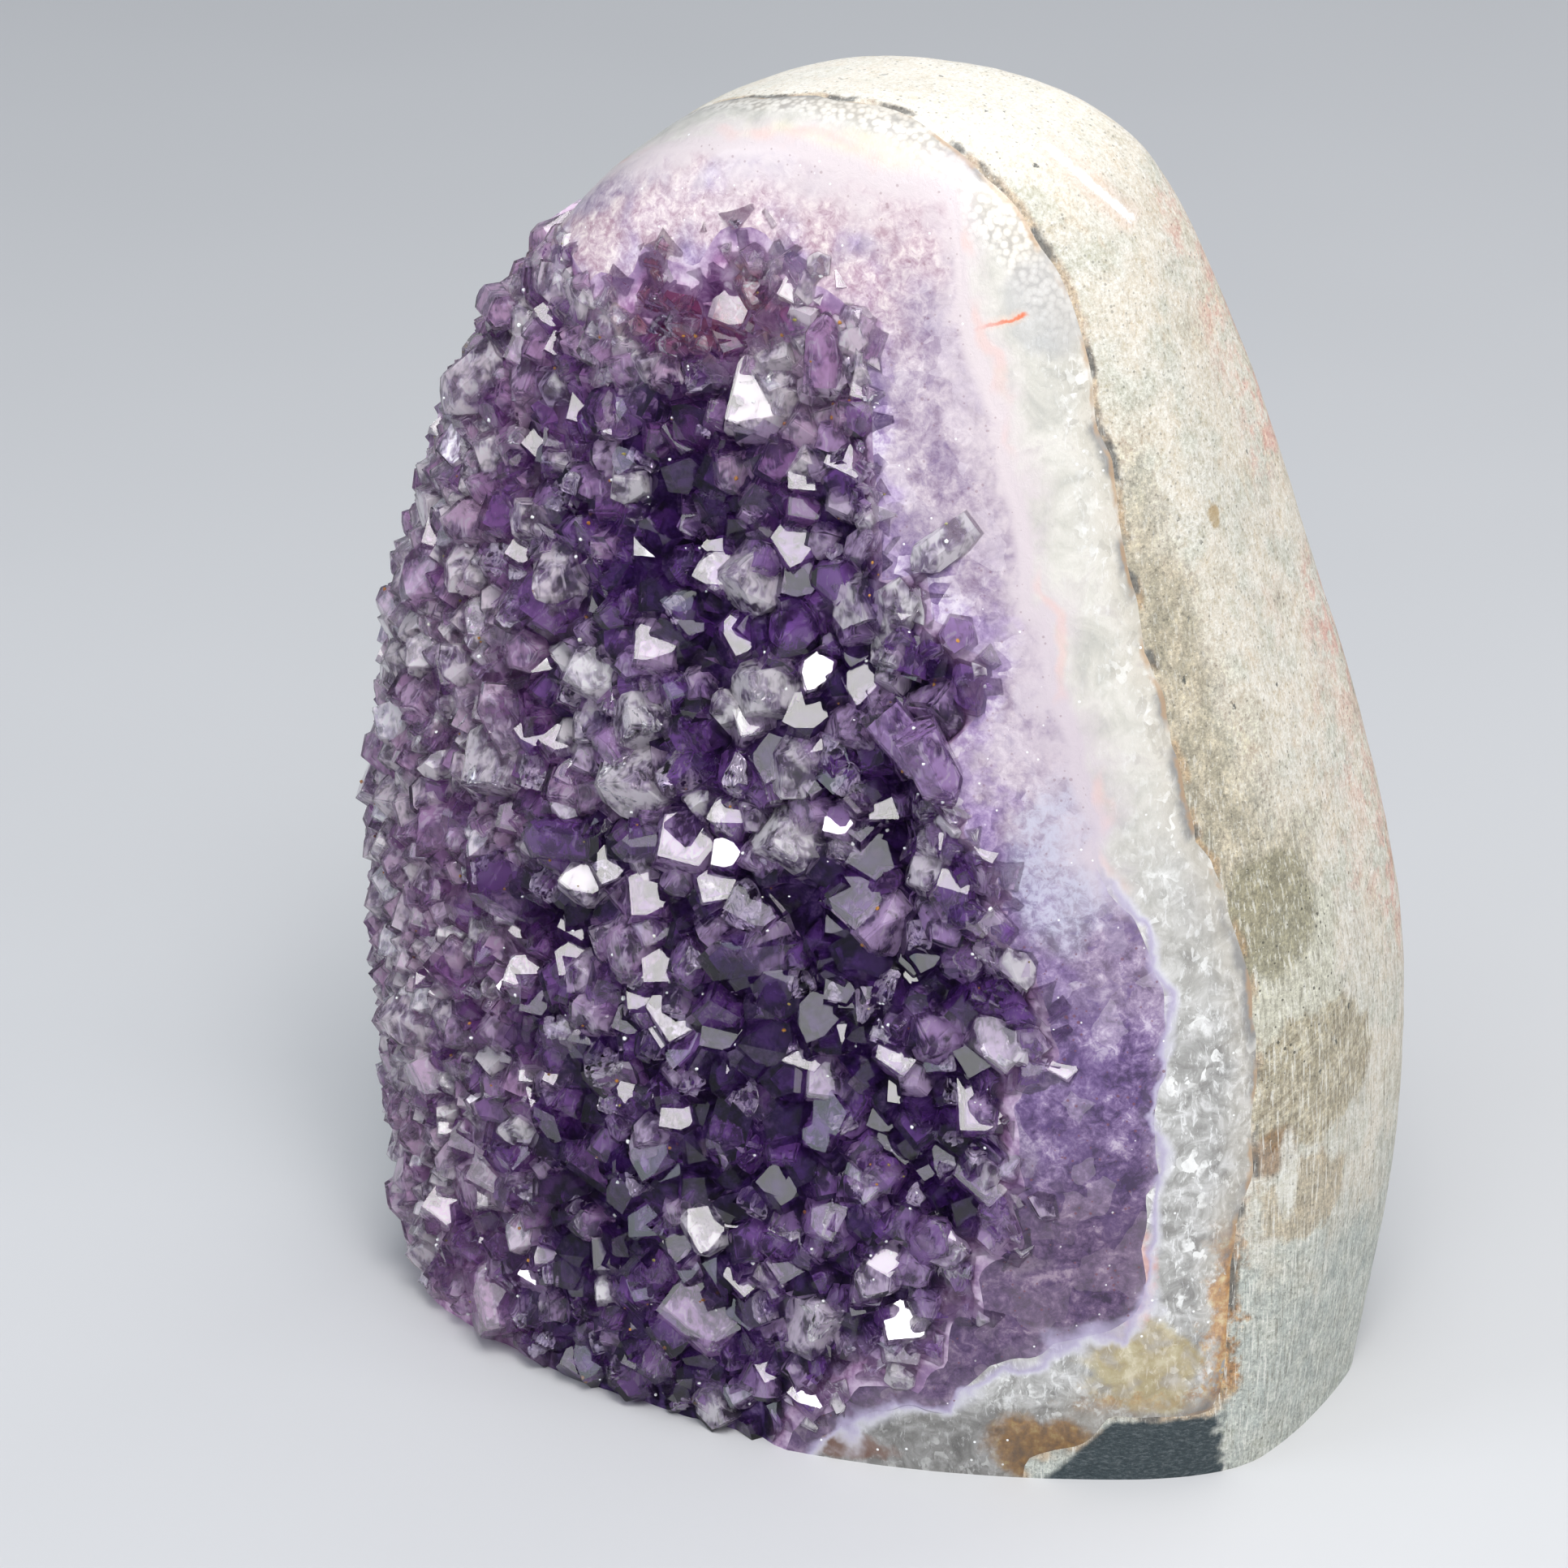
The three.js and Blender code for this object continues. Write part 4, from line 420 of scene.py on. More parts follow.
def groove(beta, r):
    """How far the surface drops at the contact of rock and quartz on the ground face."""
    t = np.abs(mm_inside(EDGE_C, beta, r))
    p = CENTRE + direction(ALPHA, beta) * r[:, None]
    open_ = 0.45 + 0.55 * noise(p, 9, 41)
    return np.maximum(open_, 0.05) * 0.3 * np.exp(-((t / 0.35) ** 2))


def rock_face(beta):
    r = outer(ALPHA, beta)
    p = CENTRE + direction(ALPHA, beta) * r[:, None]
    t = mm_inside(EDGE_C, beta, r)
    rough = 0.05 * noise(p, 2.0, 5) + 0.07 * noise(p, 6.0, 6) + 0.12 * noise(p * [1, 1, 0.35], 14, 8)
    fade = smooth(np.abs(t) / 0.4)
    return r - 0.05 + fade * rough * 0.8 - groove(beta, r)


def quartz_face(beta):
    r = outer(ALPHA, beta)
    p = CENTRE + direction(ALPHA, beta) * r[:, None]
    rough = 0.04 * noise(p, 1.6, 15) + 0.05 * noise(p, 4.0, 16)
    fade = smooth(np.abs(mm_inside(EDGE_C, beta, r)) / 0.4) * smooth(np.abs(mm_inside(EDGE_B, beta, r)) / 0.4)
    return r - 0.05 + fade * rough - groove(beta, r)


# host rock
fine = np.linspace(0, 1, 7)[1:] * 0.02
shares = np.concatenate([[0], fine, 0.02 + 0.98 * np.linspace(0, 1, 110)[1:-1] ** 1.12])
rings = [ring(b, rock_face(b)) for b in spread(EDGE_C, 180, shares)][::-1]
inner = [ring(b, bowl(ALPHA, b, edge_c, ROCK_BOWL) - 0.05) for b in spread(EDGE_C, 180, (0.03, 0.08, 0.15, 0.24, 0.36, 0.5, 0.66, 0.84))]
pole = ring(0 * ALPHA + 180, outer(ALPHA, 0 * ALPHA + 180) - 0.05)[0]
deep = ring(0 * ALPHA + 180, bowl(ALPHA, 0 * ALPHA + 180, edge_c, ROCK_BOWL) - 0.05)[0]
rock = ring_object("basalt_rock", pole, rings + inner, deep)

# quartz band
shares = np.concatenate([[0], fine * 4, np.linspace(0.08, 0.92, 30)[1:-1], 1 - fine[::-1] * 4, [1]])
face_rings = [ring(b, quartz_face(b)) for b in spread(EDGE_C, EDGE_B, shares)]
back_rock = [ring(b, bowl(ALPHA, b, edge_c, ROCK_BOWL) - 0.2) for b in spread(EDGE_C, 180, (0.03, 0.08, 0.15, 0.24, 0.36, 0.5, 0.66, 0.84))][::-1]
back_violet = [ring(b, bowl(ALPHA, b, edge_b, VIOLET_BOWL)) for b in spread(EDGE_B, 180, (0.03, 0.08, 0.15, 0.24, 0.36, 0.5, 0.66, 0.84))]
quartz = ring_object(
    "quartz_layer",
    ring(0 * ALPHA + 180, bowl(ALPHA, 0 * ALPHA + 180, edge_c, ROCK_BOWL) - 0.2)[0],
    back_rock + face_rings + back_violet,
    ring(0 * ALPHA + 180, bowl(ALPHA, 0 * ALPHA + 180, edge_b, VIOLET_BOWL))[0],
)


def floor_drop(alpha, beta, r):
    """How far the crystal floor lies below the outer surface, along the ray from the inner point."""
    t = mm_inside(edge_a(alpha), beta, r)
    p = CENTRE + direction(alpha, beta) * r[:, None]
    down = (DRUSE_DEPTH + 0.7 + 0.9 * hollow(p[:, 0], p[:, 2])) * smooth(t / 3.4)
    return down - smooth(t / 2.5) * (0.7 * noise(p, 3.2, 21) + 0.35 * noise(p, 1.5, 22))


# violet layer: crystal floor, polished rim, contact with the quartz
def violet_face(beta):
    r = outer(ALPHA, beta)
    t = mm_inside(EDGE_A, beta, r)
    p = CENTRE + direction(ALPHA, beta) * r[:, None]
    rim = (1 - smooth(t / 0.5)) * smooth(-t / 0.6 + 0.6) * (0.05 * noise(p, 1.2, 25) + 0.06 * noise(p, 3.0, 26))
    chips = 0.35 * np.maximum(noise(p, 1.8, 27) - 0.1, 0) * np.exp(-((t / 0.9) ** 2))
    fade = smooth(np.abs(mm_inside(EDGE_B, beta, r)) / 0.4)
    return r - 0.05 - floor_drop(ALPHA, beta, r) + rim * fade - chips


shares = np.concatenate([np.linspace(0.015, 1, 64)])
rings = [ring(b, violet_face(b)) for b in spread(0 * ALPHA, EDGE_A, shares)]
rim_shares = np.concatenate([np.linspace(0, 0.92, 22)[1:], 1 - fine[::-1] * 4, [1]])
rim = [ring(b, violet_face(b)) for b in spread(EDGE_A, EDGE_B, rim_shares)]
back = [ring(b, bowl(ALPHA, b, edge_b, VIOLET_BOWL) - 0.15) for b in spread(EDGE_B, 180, (0.03, 0.08, 0.15, 0.24, 0.36, 0.5, 0.66, 0.84))]
zero = 0 * ALPHA
violet = ring_object(
    "amethyst_layer",
    ring(zero, violet_face(zero))[0],
    rings + rim + back,
    ring(zero + 180, bowl(ALPHA, zero + 180, edge_b, VIOLET_BOWL) - 0.15)[0],
)

# the space the clear crystals may fill, open to the front
room_rings = [ring(b, bowl(ALPHA, b, edge_b, VIOLET_BOWL) - 0.4) for b in spread(zero, EDGE_B - 0.4, (0.2, 0.4, 0.6, 0.75, 0.85, 0.9, 0.95, 1.0))]
room_back = [ring(b, bowl(ALPHA, b, edge_b, VIOLET_BOWL) - 0.5) for b in spread(EDGE_B, 180, (0.03, 0.08, 0.15, 0.24, 0.36, 0.5, 0.66, 0.84))]
room = ring_object(
    "room",
    ring(zero, outer(ALPHA, zero) * 1.22)[0],
    room_rings + room_back,
    ring(zero + 180, bowl(ALPHA, zero + 180, edge_b, VIOLET_BOWL) - 0.5)[0],
)

above = block((-200, -200, 0), (200, 200, 300))
for ob in (rock, quartz, violet):
    apply_boolean(ob, above, "INTERSECT")

# ------------------------------------------------------------------ crystals
VIEW = np.array([0.371572, -0.834565, 0.406737])   # from the specimen towards the eye
KEY = np.array([0.30, -0.50, 0.81])                # from the specimen towards the main light
KEY = KEY / np.linalg.norm(KEY)
HALF = (VIEW + KEY) / np.linalg.norm(VIEW + KEY)
rng = np.random.default_rng(23)


def unit(v):
    return v / np.linalg.norm(v)


def basis(axis):
    ref = np.array([0, 0, 1.0]) if abs(axis[2]) < 0.9 else np.array([1.0, 0, 0])
    e1 = unit(ref - (ref @ axis) * axis)
    return e1, np.cross(axis, e1)


def crystal_planes(tip, axis, turn, width, minor, spin, length, inset=0.0):
    """Normals and offsets of prism, tip and back faces; spin varies the habit a little."""
    e1, e2 = basis(axis)
    s, c = math.sin(QUARTZ_ANGLE), math.cos(QUARTZ_ANGLE)
    n, d = [], []
    for k in range(6):
        t = math.radians(turn + 60 * k)
        side = e1 * math.cos(t) + e2 * math.sin(t)
        n.append(side)
        d.append(width / 2 * (1 + 0.16 * spin[k]) - inset)
        n.append(s * side + c * axis)
        d.append((minor * width * c * (1 + 0.5 * spin[k]) if k % 2 else (0.07 * width * spin[k] if k else -0.03 * width)) - inset)
    n.append(-axis)
    d.append(length)
    return np.array(n), np.array(d)


TRIPLES = np.array(list(itertools.combinations(range(13), 3)))


def hull(n, d, tip):
    a = n[TRIPLES]
    det = np.einsum("ij,ij->i", a[:, 0], np.cross(a[:, 1], a[:, 2]))
    ok = np.abs(det) > 1e-4
    p = np.linalg.solve(a[ok], d[TRIPLES[ok]][..., None])[..., 0]
    p = p[(p @ n.T <= d + 1e-6).all(1)]
    keep = []
    for q in p:
        if all(np.abs(q - r).max() > 3e-3 for r in keep):
            keep.append(q)
    p = np.array(keep)
    faces = []
    for nn, dd in zip(n, d):
        on = np.where(np.abs(p @ nn - dd) < 6e-3)[0]
        if len(on) < 3:
            continue
        c = p[on].mean(0)
        e1 = unit(p[on[0]] - c)
        e2 = np.cross(nn, e1)
        faces.append(on[np.argsort(np.arctan2((p[on] - c) @ e2, (p[on] - c) @ e1))].tolist())
    edges = sum(len(f) for f in faces) / 2
    return p + tip, faces, len(p) - edges + len(faces) == 2


class Crystal:
    pass


def make_crystal(tip, axis, turn, width, minor, tone):
    c = Crystal()
    c.tip, c.axis, c.turn, c.width, c.minor, c.tone = np.array(tip, float), unit(np.array(axis, float)), turn, width, minor, tone
    c.length = 1.25 * width + 3
    for _ in range(8):
        c.spin = rng.uniform(-1, 1, 6)
        c.n, c.d = crystal_planes(c.tip, c.axis, turn, width, minor, c.spin, c.length)
        c.verts, c.faces, good = hull(c.n, c.d, c.tip)
        if good:
            break
    c.good = good
    c.rnd = rng.uniform(0, 1)
    return c


crystals = [make_crystal(r[:3], r[3:6], r[6], r[7], r[8], r[9]) for r in CRYSTALS]
feet = [c.tip + c.axis * 0 for c in crystals]


def surface_points(count):
    """Points spread over the crystal field with their outward normals."""
    a = rng.uniform(0, 360, count * 3)
    b = np.degrees(np.arccos(rng.uniform(math.cos(math.radians(92)), 1, count * 3)))
    keep = b < edge_a(a) + 0.6
    a, b = a[keep], b[keep]
    r = outer(a, b)
    d = direction(a, b)
    p = CENTRE + d * r[:, None]
    n = gradient(p)
    w = r**2 / np.maximum((d * n).sum(1), 0.2)
    keep = (rng.uniform(0, 1, len(w)) < w / np.quantile(w, 0.9)) & (p[:, 2] > -1.5)
    return a[keep], b[keep], r[keep], p[keep], n[keep]


def surface_foot(c):
    """Where a crystal's tip meets the outer surface, straight out from it."""
    a, b = angles_of(c.tip)
    return CENTRE + direction(a, b) * float(outer(np.array([a]), np.array([b]))[0])


# milky towards the left, the top and the rim and in the middle; clear and dark in the hollows
MILKY = [((-40.0, 0.0, 55.0), (14, 24, 60), 0.6), ((-12.0, -14.0, 99.0), (26, 14, 10), 0.5), ((-7.0, -20.0, 62.0), (10, 12, 9), 0.35), ((-30.0, -14.0, 14.0), (10, 12, 10), 0.25),
         ((-9.8, -12.8, 99.0), (7, 8, 4.0), -0.95), ((-2.0, -25.0, 28.0), (7, 8, 6), -0.3), ((-6.5, -18.0, 84.6), (9, 10, 8), -0.45), ((14.0, -24.2, 42.9), (8, 8, 9), -0.4), ((-17.1, -24.7, 14.7), (7, 8, 7), -0.35),
         ((-4.0, -24.0, 36.0), (9, 8, 7), -0.3), ((20.0, -24.0, 26.0), (7, 8, 8), -0.3)]


def pick_tone(p, rim_mm):
    level = rng.normal(0.33, 0.24) + 0.35 * float(np.exp(-max(rim_mm, 0) / 3.0))
    for centre, size, amount in MILKY:
        level += amount * math.exp(-float((((p - centre) / np.array(size)) ** 2).sum()))
    return int(min(max(level, 0), 0.999) * 4)


places = np.array([surface_foot(c) for c in crystals])
widths = np.array([c.width for c in crystals])
pa, pb, pr, pp, pn = surface_points(60000)
depth_all = floor_depth(pa, pb, pr)
edge_mm = mm_inside(edge_a(pa), pb, pr)
side = smooth((-pp[:, 0] - 26) / 22.0)            # towards the left edge the crystals get small and pale
upper = smooth((pp[:, 2] - 84) / 14.0)
clear = np.min([np.linalg.norm(pp - q, axis=1) - 0.40 * w for q, w in zip(places, widths)], axis=0)
chance = rng.uniform(0, 1, len(pp))
jitter = rng.uniform(0.88, 1.12, len(pp))
for size, share in ((6.2, 0.12), (5.4, 0.3), (4.6, 0.5), (3.9, 0.8), (3.3, 1), (2.8, 1), (2.4, 1)):
    for k in np.where((edge_mm > 0.4) & (clear > 0.33 * size) & (chance < share) & ((side > 0.3) | (size > 2.7)))[0]:
        w = size * jitter[k]
        if clear[k] < 0.40 * w or (side[k] + upper[k] > 0.6 and w > 4.4) or edge_mm[k] < 0.22 * w:
            continue
        proud = min(0.62 * w + rng.uniform(0, 0.9), 3.6)
        lift = 0.15 - 0.8 * side[k] * rng.uniform(0.2, 1)
        down = max(depth_all[k] - proud, lift)
        n = pn[k]
        if rng.uniform() < 0.14:
            target = unit(HALF + rng.normal(0, 0.09, 3))
            q = unit(n - (n @ target) * target)
            ang = rng.uniform(-0.7, 0.7)
            q = q * math.cos(ang) + np.cross(target, q) * math.sin(ang)
            axis = unit(math.cos(QUARTZ_ANGLE) * target + math.sin(QUARTZ_ANGLE) * q)
            e1, e2 = basis(axis)
            e = unit(target - (target @ axis) * axis)
            turn = math.degrees(math.atan2(e @ e2, e @ e1))
        else:
            axis = unit(n + rng.normal(0, 0.27, 3))
            turn = rng.uniform(0, 120)
        tone = pick_tone(pp[k] + SHIFT, edge_mm[k])
        crystals.append(make_crystal(pp[k] - n * down, axis, turn, w, rng.uniform(0.1, 0.4), tone))
        clear = np.minimum(clear, np.linalg.norm(pp - pp[k], axis=1) - 0.40 * w)
crystals = [c for c in crystals if c.good]
print("crystals", len(crystals), "candidates", len(pp))

# small crystals wherever the floor between the others is still bare
pick = rng.permutation(len(pp))[:16000]
fa, fb, fr, fn, fside = pa[pick], pb[pick], pr[pick], pn[pick], side[pick]
fdrop = floor_drop(fa, fb, fr)
foot_of = CENTRE + direction(fa, fb) * (fr - fdrop)[:, None]
room_above = -body(foot_of)
probe = foot_of + fn * np.minimum(0.4, 0.3 * room_above)[:, None]
bare = (mm_inside(edge_a(fa), fb, fr) > 0.7) & (foot_of[:, 2] > -1)


def cover(c):
    mid, reach = c.tip - c.axis * c.length / 2, math.hypot(c.length / 2, 0.68 * c.width)
    near = np.where(bare & (np.linalg.norm(probe - mid, axis=1) < reach))[0]
    if len(near):
        bare[near[((probe[near] - c.tip) @ c.n.T - c.d).max(1) < 0]] = False


for c in crystals:
    cover(c)
print("bare points", int(bare.sum()), "of", len(pick))
for k in range(len(pick)):
    if not bare[k]:
        continue
    w = rng.uniform(2.9, 4.8) if fside[k] < 0.5 else rng.uniform(2.2, 3.4)
    proud = min(0.55 * w + rng.uniform(0.2, 0.9), room_above[k] + (rng.uniform(0.1, 0.7) if fside[k] < 0.6 else -0.06))
    axis = unit(fn[k] + rng.normal(0, 0.3, 3))
    tip = foot_of[k] + fn[k] * proud
    if rng.uniform() < 0.5:
        tip = tip + unit(np.cross(axis, rng.normal(0, 1, 3))) * 0.25 * w
        if body(tip) > 0.6:
            tip = foot_of[k] + fn[k] * proud
    tone = pick_tone(foot_of[k] + SHIFT, mm_inside(edge_a(fa[k]), fb[k], fr[k]))
    c = make_crystal(tip, axis, rng.uniform(0, 120), w, rng.uniform(0.1, 0.4), tone)
    if c.good:
        crystals.append(c)
        cover(c)
    bare[k] = False

# a fringe of small broken crystals over the edge of the polished rim, mostly high up
fringe = np.where((edge_mm > -0.5) & (edge_mm < 1.2) & (pp[:, 2] > 3))[0]
for k in rng.permutation(fringe)[:260]:
    if rng.uniform() > 0.25 + 0.75 * float(smooth((pp[k, 2] - 70) / 25)):
        continue
    w = rng.uniform(2.2, 4.2)
    out = rng.uniform(0, 1.3) * float(smooth((pp[k, 2] - 70) / 25))
    radial = unit(np.array([pp[k, 0] - CENTRE[0], 0, pp[k, 2] - CENTRE[2]]))
    base = pp[k] + radial * out
    base = base - gradient(base[None])[0] * body(base)
    c = make_crystal(base + pn[k] * rng.uniform(0.25, 0.8), unit(pn[k] + rng.normal(0, 0.35, 3)), rng.uniform(0, 120), w, rng.uniform(0.1, 0.4), int(rng.choice([1, 2, 3], p=[0.3, 0.4, 0.3])))
    if c.good:
        crystals.append(c)

# and some larger ones standing over the right hand edge of the druse
taken = []
right_edge = np.where((edge_mm > -0.6) & (edge_mm < 1.6) & (pp[:, 2] > 22) & (pp[:, 0] > -2))[0]
for k in rng.permutation(right_edge):
    if len(taken) == 70:
        break
    if any(np.linalg.norm(pp[k] - q) < 2.6 for q in taken):
        continue
    taken.append(pp[k])
    radial = unit(np.array([pp[k, 0] - CENTRE[0], 0, pp[k, 2] - CENTRE[2]]))
    base = pp[k] + radial * rng.uniform(-0.8, 1.1)
    base = base - gradient(base[None])[0] * body(base)
    c = make_crystal(base + pn[k] * rng.uniform(0.2, 0.9), unit(pn[k] + rng.normal(0, 0.4, 3)), rng.uniform(0, 120), rng.uniform(2.6, 4.6), rng.uniform(0.1, 0.4), int(rng.choice([0, 1, 2], p=[0.15, 0.5, 0.35])))
    if c.good:
        crystals.append(c)
# stumps whose tips are below or just above the cut foot are left out
crystals = [c for c in crystals if c.tip[2] > 1.3]
print("crystals", len(crystals))


def segment_gap(a, b):
    """Distance between two crystals' axes."""
    p1, q1 = a.tip, a.tip - a.axis * a.length
    p2, q2 = b.tip, b.tip - b.axis * b.length
    d1, d2, r = q1 - p1, q2 - p2, p1 - p2
    aa, ee, f = d1 @ d1, d2 @ d2, d2 @ r
    c, bb = d1 @ r, d1 @ d2
    den = aa * ee - bb * bb
    s = min(max((bb * f - c * ee) / den, 0), 1) if den > 1e-9 else 0
    t = (bb * s + f) / ee
    if t < 0:
        t, s = 0, min(max(-c / aa, 0), 1)
    elif t > 1:
        t, s = 1, min(max((bb - c) / aa, 0), 1)
    return np.linalg.norm(p1 + d1 * s - p2 - d2 * t)


mids = np.array([c.tip - c.axis * c.length / 2 for c in crystals])
half = np.array([math.hypot(c.length / 2, 0.68 * c.width) for c in crystals])
colour = [-1] * len(crystals)
order = np.argsort([-c.width for c in crystals])
for i in order:
    near = np.where(np.linalg.norm(mids - mids[i], axis=1) < half + half[i] + 0.05)[0]
    used = {colour[j] for j in near if colour[j] >= 0 and segment_gap(crystals[i], crystals[j]) < 0.69 * (crystals[i].width + crystals[j].width) + 0.05}
    k = 0
    while k in used:
        k += 1
    colour[i] = k
groups = []
for k in range(max(colour) + 1):
    v, f, base = [], [], 0
    for c, col in zip(crystals, colour):
        if col == k:
            v.append(c.verts)
            f += [[base + i for i in face] for face in c.faces]
            base += len(c.verts)
    groups.append(mesh_object(f"group{k}", np.vstack(v), f))
print("groups", len(groups))
while len(groups) > 1:
    rest = []
    for i in range(0, len(groups) - 1, 2):
        apply_boolean(groups[i], groups[i + 1], "UNION")
        drop(groups[i + 1])
        rest.append(groups[i])
    if len(groups) % 2:
        rest.append(groups[-1])
    groups = rest
glass = groups[0]
glass.name = glass.data.name = "amethyst_crystals"
apply_boolean(glass, room, "INTERSECT")
apply_boolean(glass, above, "INTERSECT")
drop(room)
print("glass", len(glass.data.vertices), len(glass.data.polygons))


def owners(points):
    """For points on the crystals' faces, which crystal each belongs to."""
    best = np.full(len(points), 1e9)
    who = np.zeros(len(points), int)
    for i, c in enumerate(crystals):
        near = np.where(np.linalg.norm(points - mids[i], axis=1) < half[i] + 0.1)[0]
        if not len(near):
            continue
        r = np.abs(((points[near] - c.tip) @ c.n.T - c.d).max(1))
        better = r < best[near]
        best[near[better]] = r[better]
        who[near[better]] = i
    return who


# ----------------------------------------------------------------- materials
class Shade:
    """Short hand for building one material's nodes. Positions are in millimetres."""

    def __init__(self, name):
        self.mat = bpy.data.materials.new(name)
        self.mat.use_nodes = True
        self.tree = self.mat.node_tree
        self.tree.nodes.clear()
        self.output = self.new("ShaderNodeOutputMaterial")
        place = self.new("ShaderNodeTexCoord").outputs["Object"]
        self.pos = self.vector("SCALE", place, scale=1000.0)

    def new(self, kind, **props):
        n = self.tree.nodes.new(kind)
        for k, v in props.items():
            setattr(n, k, v)
        return n

    def put(self, socket, value):
        if isinstance(value, bpy.types.NodeSocket):
            self.tree.links.new(value, socket)
        elif socket.type == "RGBA" and len(value) == 3:
            socket.default_value = (*value, 1.0)
        else:
            socket.default_value = value

    def math(self, op, a, b=None, c=None, clamp=False):
        n = self.new("ShaderNodeMath", operation=op, use_clamp=clamp)
        for s, v in zip(n.inputs, (a, b, c)):
            if v is not None:
                self.put(s, v)
        return n.outputs[0]

    def add(self, a, b):
        return self.math("ADD", a, b)

    def mul(self, a, b):
        return self.math("MULTIPLY", a, b)

    def vector(self, op, a, b=None, scale=None):
        n = self.new("ShaderNodeVectorMath", operation=op)
        self.put(n.inputs[0], a)
        if b is not None:
            self.put(n.inputs[1], b)
        if scale is not None:
            self.put(n.inputs["Scale"], scale)
        return n.outputs["Value"] if op in ("LENGTH", "DISTANCE", "DOT_PRODUCT") else n.outputs["Vector"]

    def xyz(self, v):
        n = self.new("ShaderNodeSeparateXYZ")
        self.put(n.inputs[0], v)
        return n.outputs

    def attr(self, name, vector=False):
        n = self.new("ShaderNodeAttribute", attribute_name=name)
        return n.outputs["Vector"] if vector else n.outputs["Fac"]

    def noise(self, vec, size, detail=3.0, rough=0.5, warp=0.0, stretch=None):
        """Noise whose features are about size millimetres; stretch scales the position first."""
        if stretch is not None:
            vec = self.vector("MULTIPLY", vec, stretch)
        n = self.new("ShaderNodeTexNoise")
        self.put(n.inputs["Vector"], vec)
        self.put(n.inputs["Scale"], 1.0 / size)
        self.put(n.inputs["Detail"], detail)
        self.put(n.inputs["Roughness"], rough)
        self.put(n.inputs["Distortion"], warp)
        return n.outputs["Fac"]

    def noise_colour(self, vec, size, detail=2.0):
        """Noise in three channels, centred on zero."""
        n = self.new("ShaderNodeTexNoise")
        self.put(n.inputs["Vector"], vec)
        self.put(n.inputs["Scale"], 1.0 / size)
        self.put(n.inputs["Detail"], detail)
        return self.vector("SUBTRACT", n.outputs["Color"], (0.5, 0.5, 0.5))

    def cells(self, vec, size, feature="F1", out="Distance", jitter=1.0, stretch=None):
        if stretch is not None:
            vec = self.vector("MULTIPLY", vec, stretch)
        n = self.new("ShaderNodeTexVoronoi", feature=feature)
        self.put(n.inputs["Vector"], vec)
        self.put(n.inputs["Scale"], 1.0 / size)
        self.put(n.inputs["Randomness"], jitter)
        return n.outputs[out]

    def fit(self, v, a, b, lo=0.0, hi=1.0, soft=True):
        n = self.new("ShaderNodeMapRange", interpolation_type="SMOOTHSTEP" if soft else "LINEAR")
        self.put(n.inputs["Value"], v)
        self.put(n.inputs["From Min"], a)
        self.put(n.inputs["From Max"], b)
        self.put(n.inputs["To Min"], lo)
        self.put(n.inputs["To Max"], hi)
        return n.outputs["Result"]

    def mix(self, fac, a, b, blend="MIX"):
        n = self.new("ShaderNodeMix", data_type="RGBA", blend_type=blend)
        self.put(n.inputs["Factor"], fac)
        self.put(n.inputs[6], a)
        self.put(n.inputs[7], b)
        return n.outputs[2]

    def ramp(self, fac, stops, mode="LINEAR"):
        n = self.new("ShaderNodeValToRGB")
        n.color_ramp.interpolation = mode
        e = n.color_ramp.elements
        while len(e) < len(stops):
            e.new(0.5)
        for el, (p, c) in zip(e, stops):
            el.position = p
            el.color = (*c, 1.0)
        self.put(n.inputs[0], fac)
        return n.outputs[0]

    def spot(self, centre, size, ragged=0.5, detail=3.0, grain=6.0, soft=(1.15, 0.75)):
        """One around centre and zero outside an uneven ellipsoid of that size, in the shared frame."""
        d = self.vector("SUBTRACT", self.pos, centre)
        d = self.vector("DIVIDE", d, size)
        r = self.vector("LENGTH", d)
        wild = self.math("MULTIPLY_ADD", self.noise(self.pos, grain, detail, 0.6), ragged * 2, -ragged)
        return self.fit(self.add(r, wild), soft[0], soft[1])

    def bump(self, height, distance, strength=1.0, normal=None):
        """height in millimetres of relief times distance."""
        n = self.new("ShaderNodeBump")
        self.put(n.inputs["Height"], height)
        self.put(n.inputs["Distance"], distance * MM)
        self.put(n.inputs["Strength"], strength)
        if normal is not None:
            self.put(n.inputs["Normal"], normal)
        return n.outputs["Normal"]

    def principled(self, **values):
        n = self.new("ShaderNodeBsdfPrincipled")
        for k, v in values.items():
            self.put(n.inputs[k.replace("_", " ")], v)
        self.tree.links.new(n.outputs[0], self.output.inputs["Surface"])
        return n


def srgb(r, g, b):
    """A colour given by its usual 0 to 255 values."""
    return tuple((v / 255 / 12.92 if v / 255 <= 0.04045 else ((v / 255 + 0.055) / 1.055) ** 2.4) for v in (r, g, b))


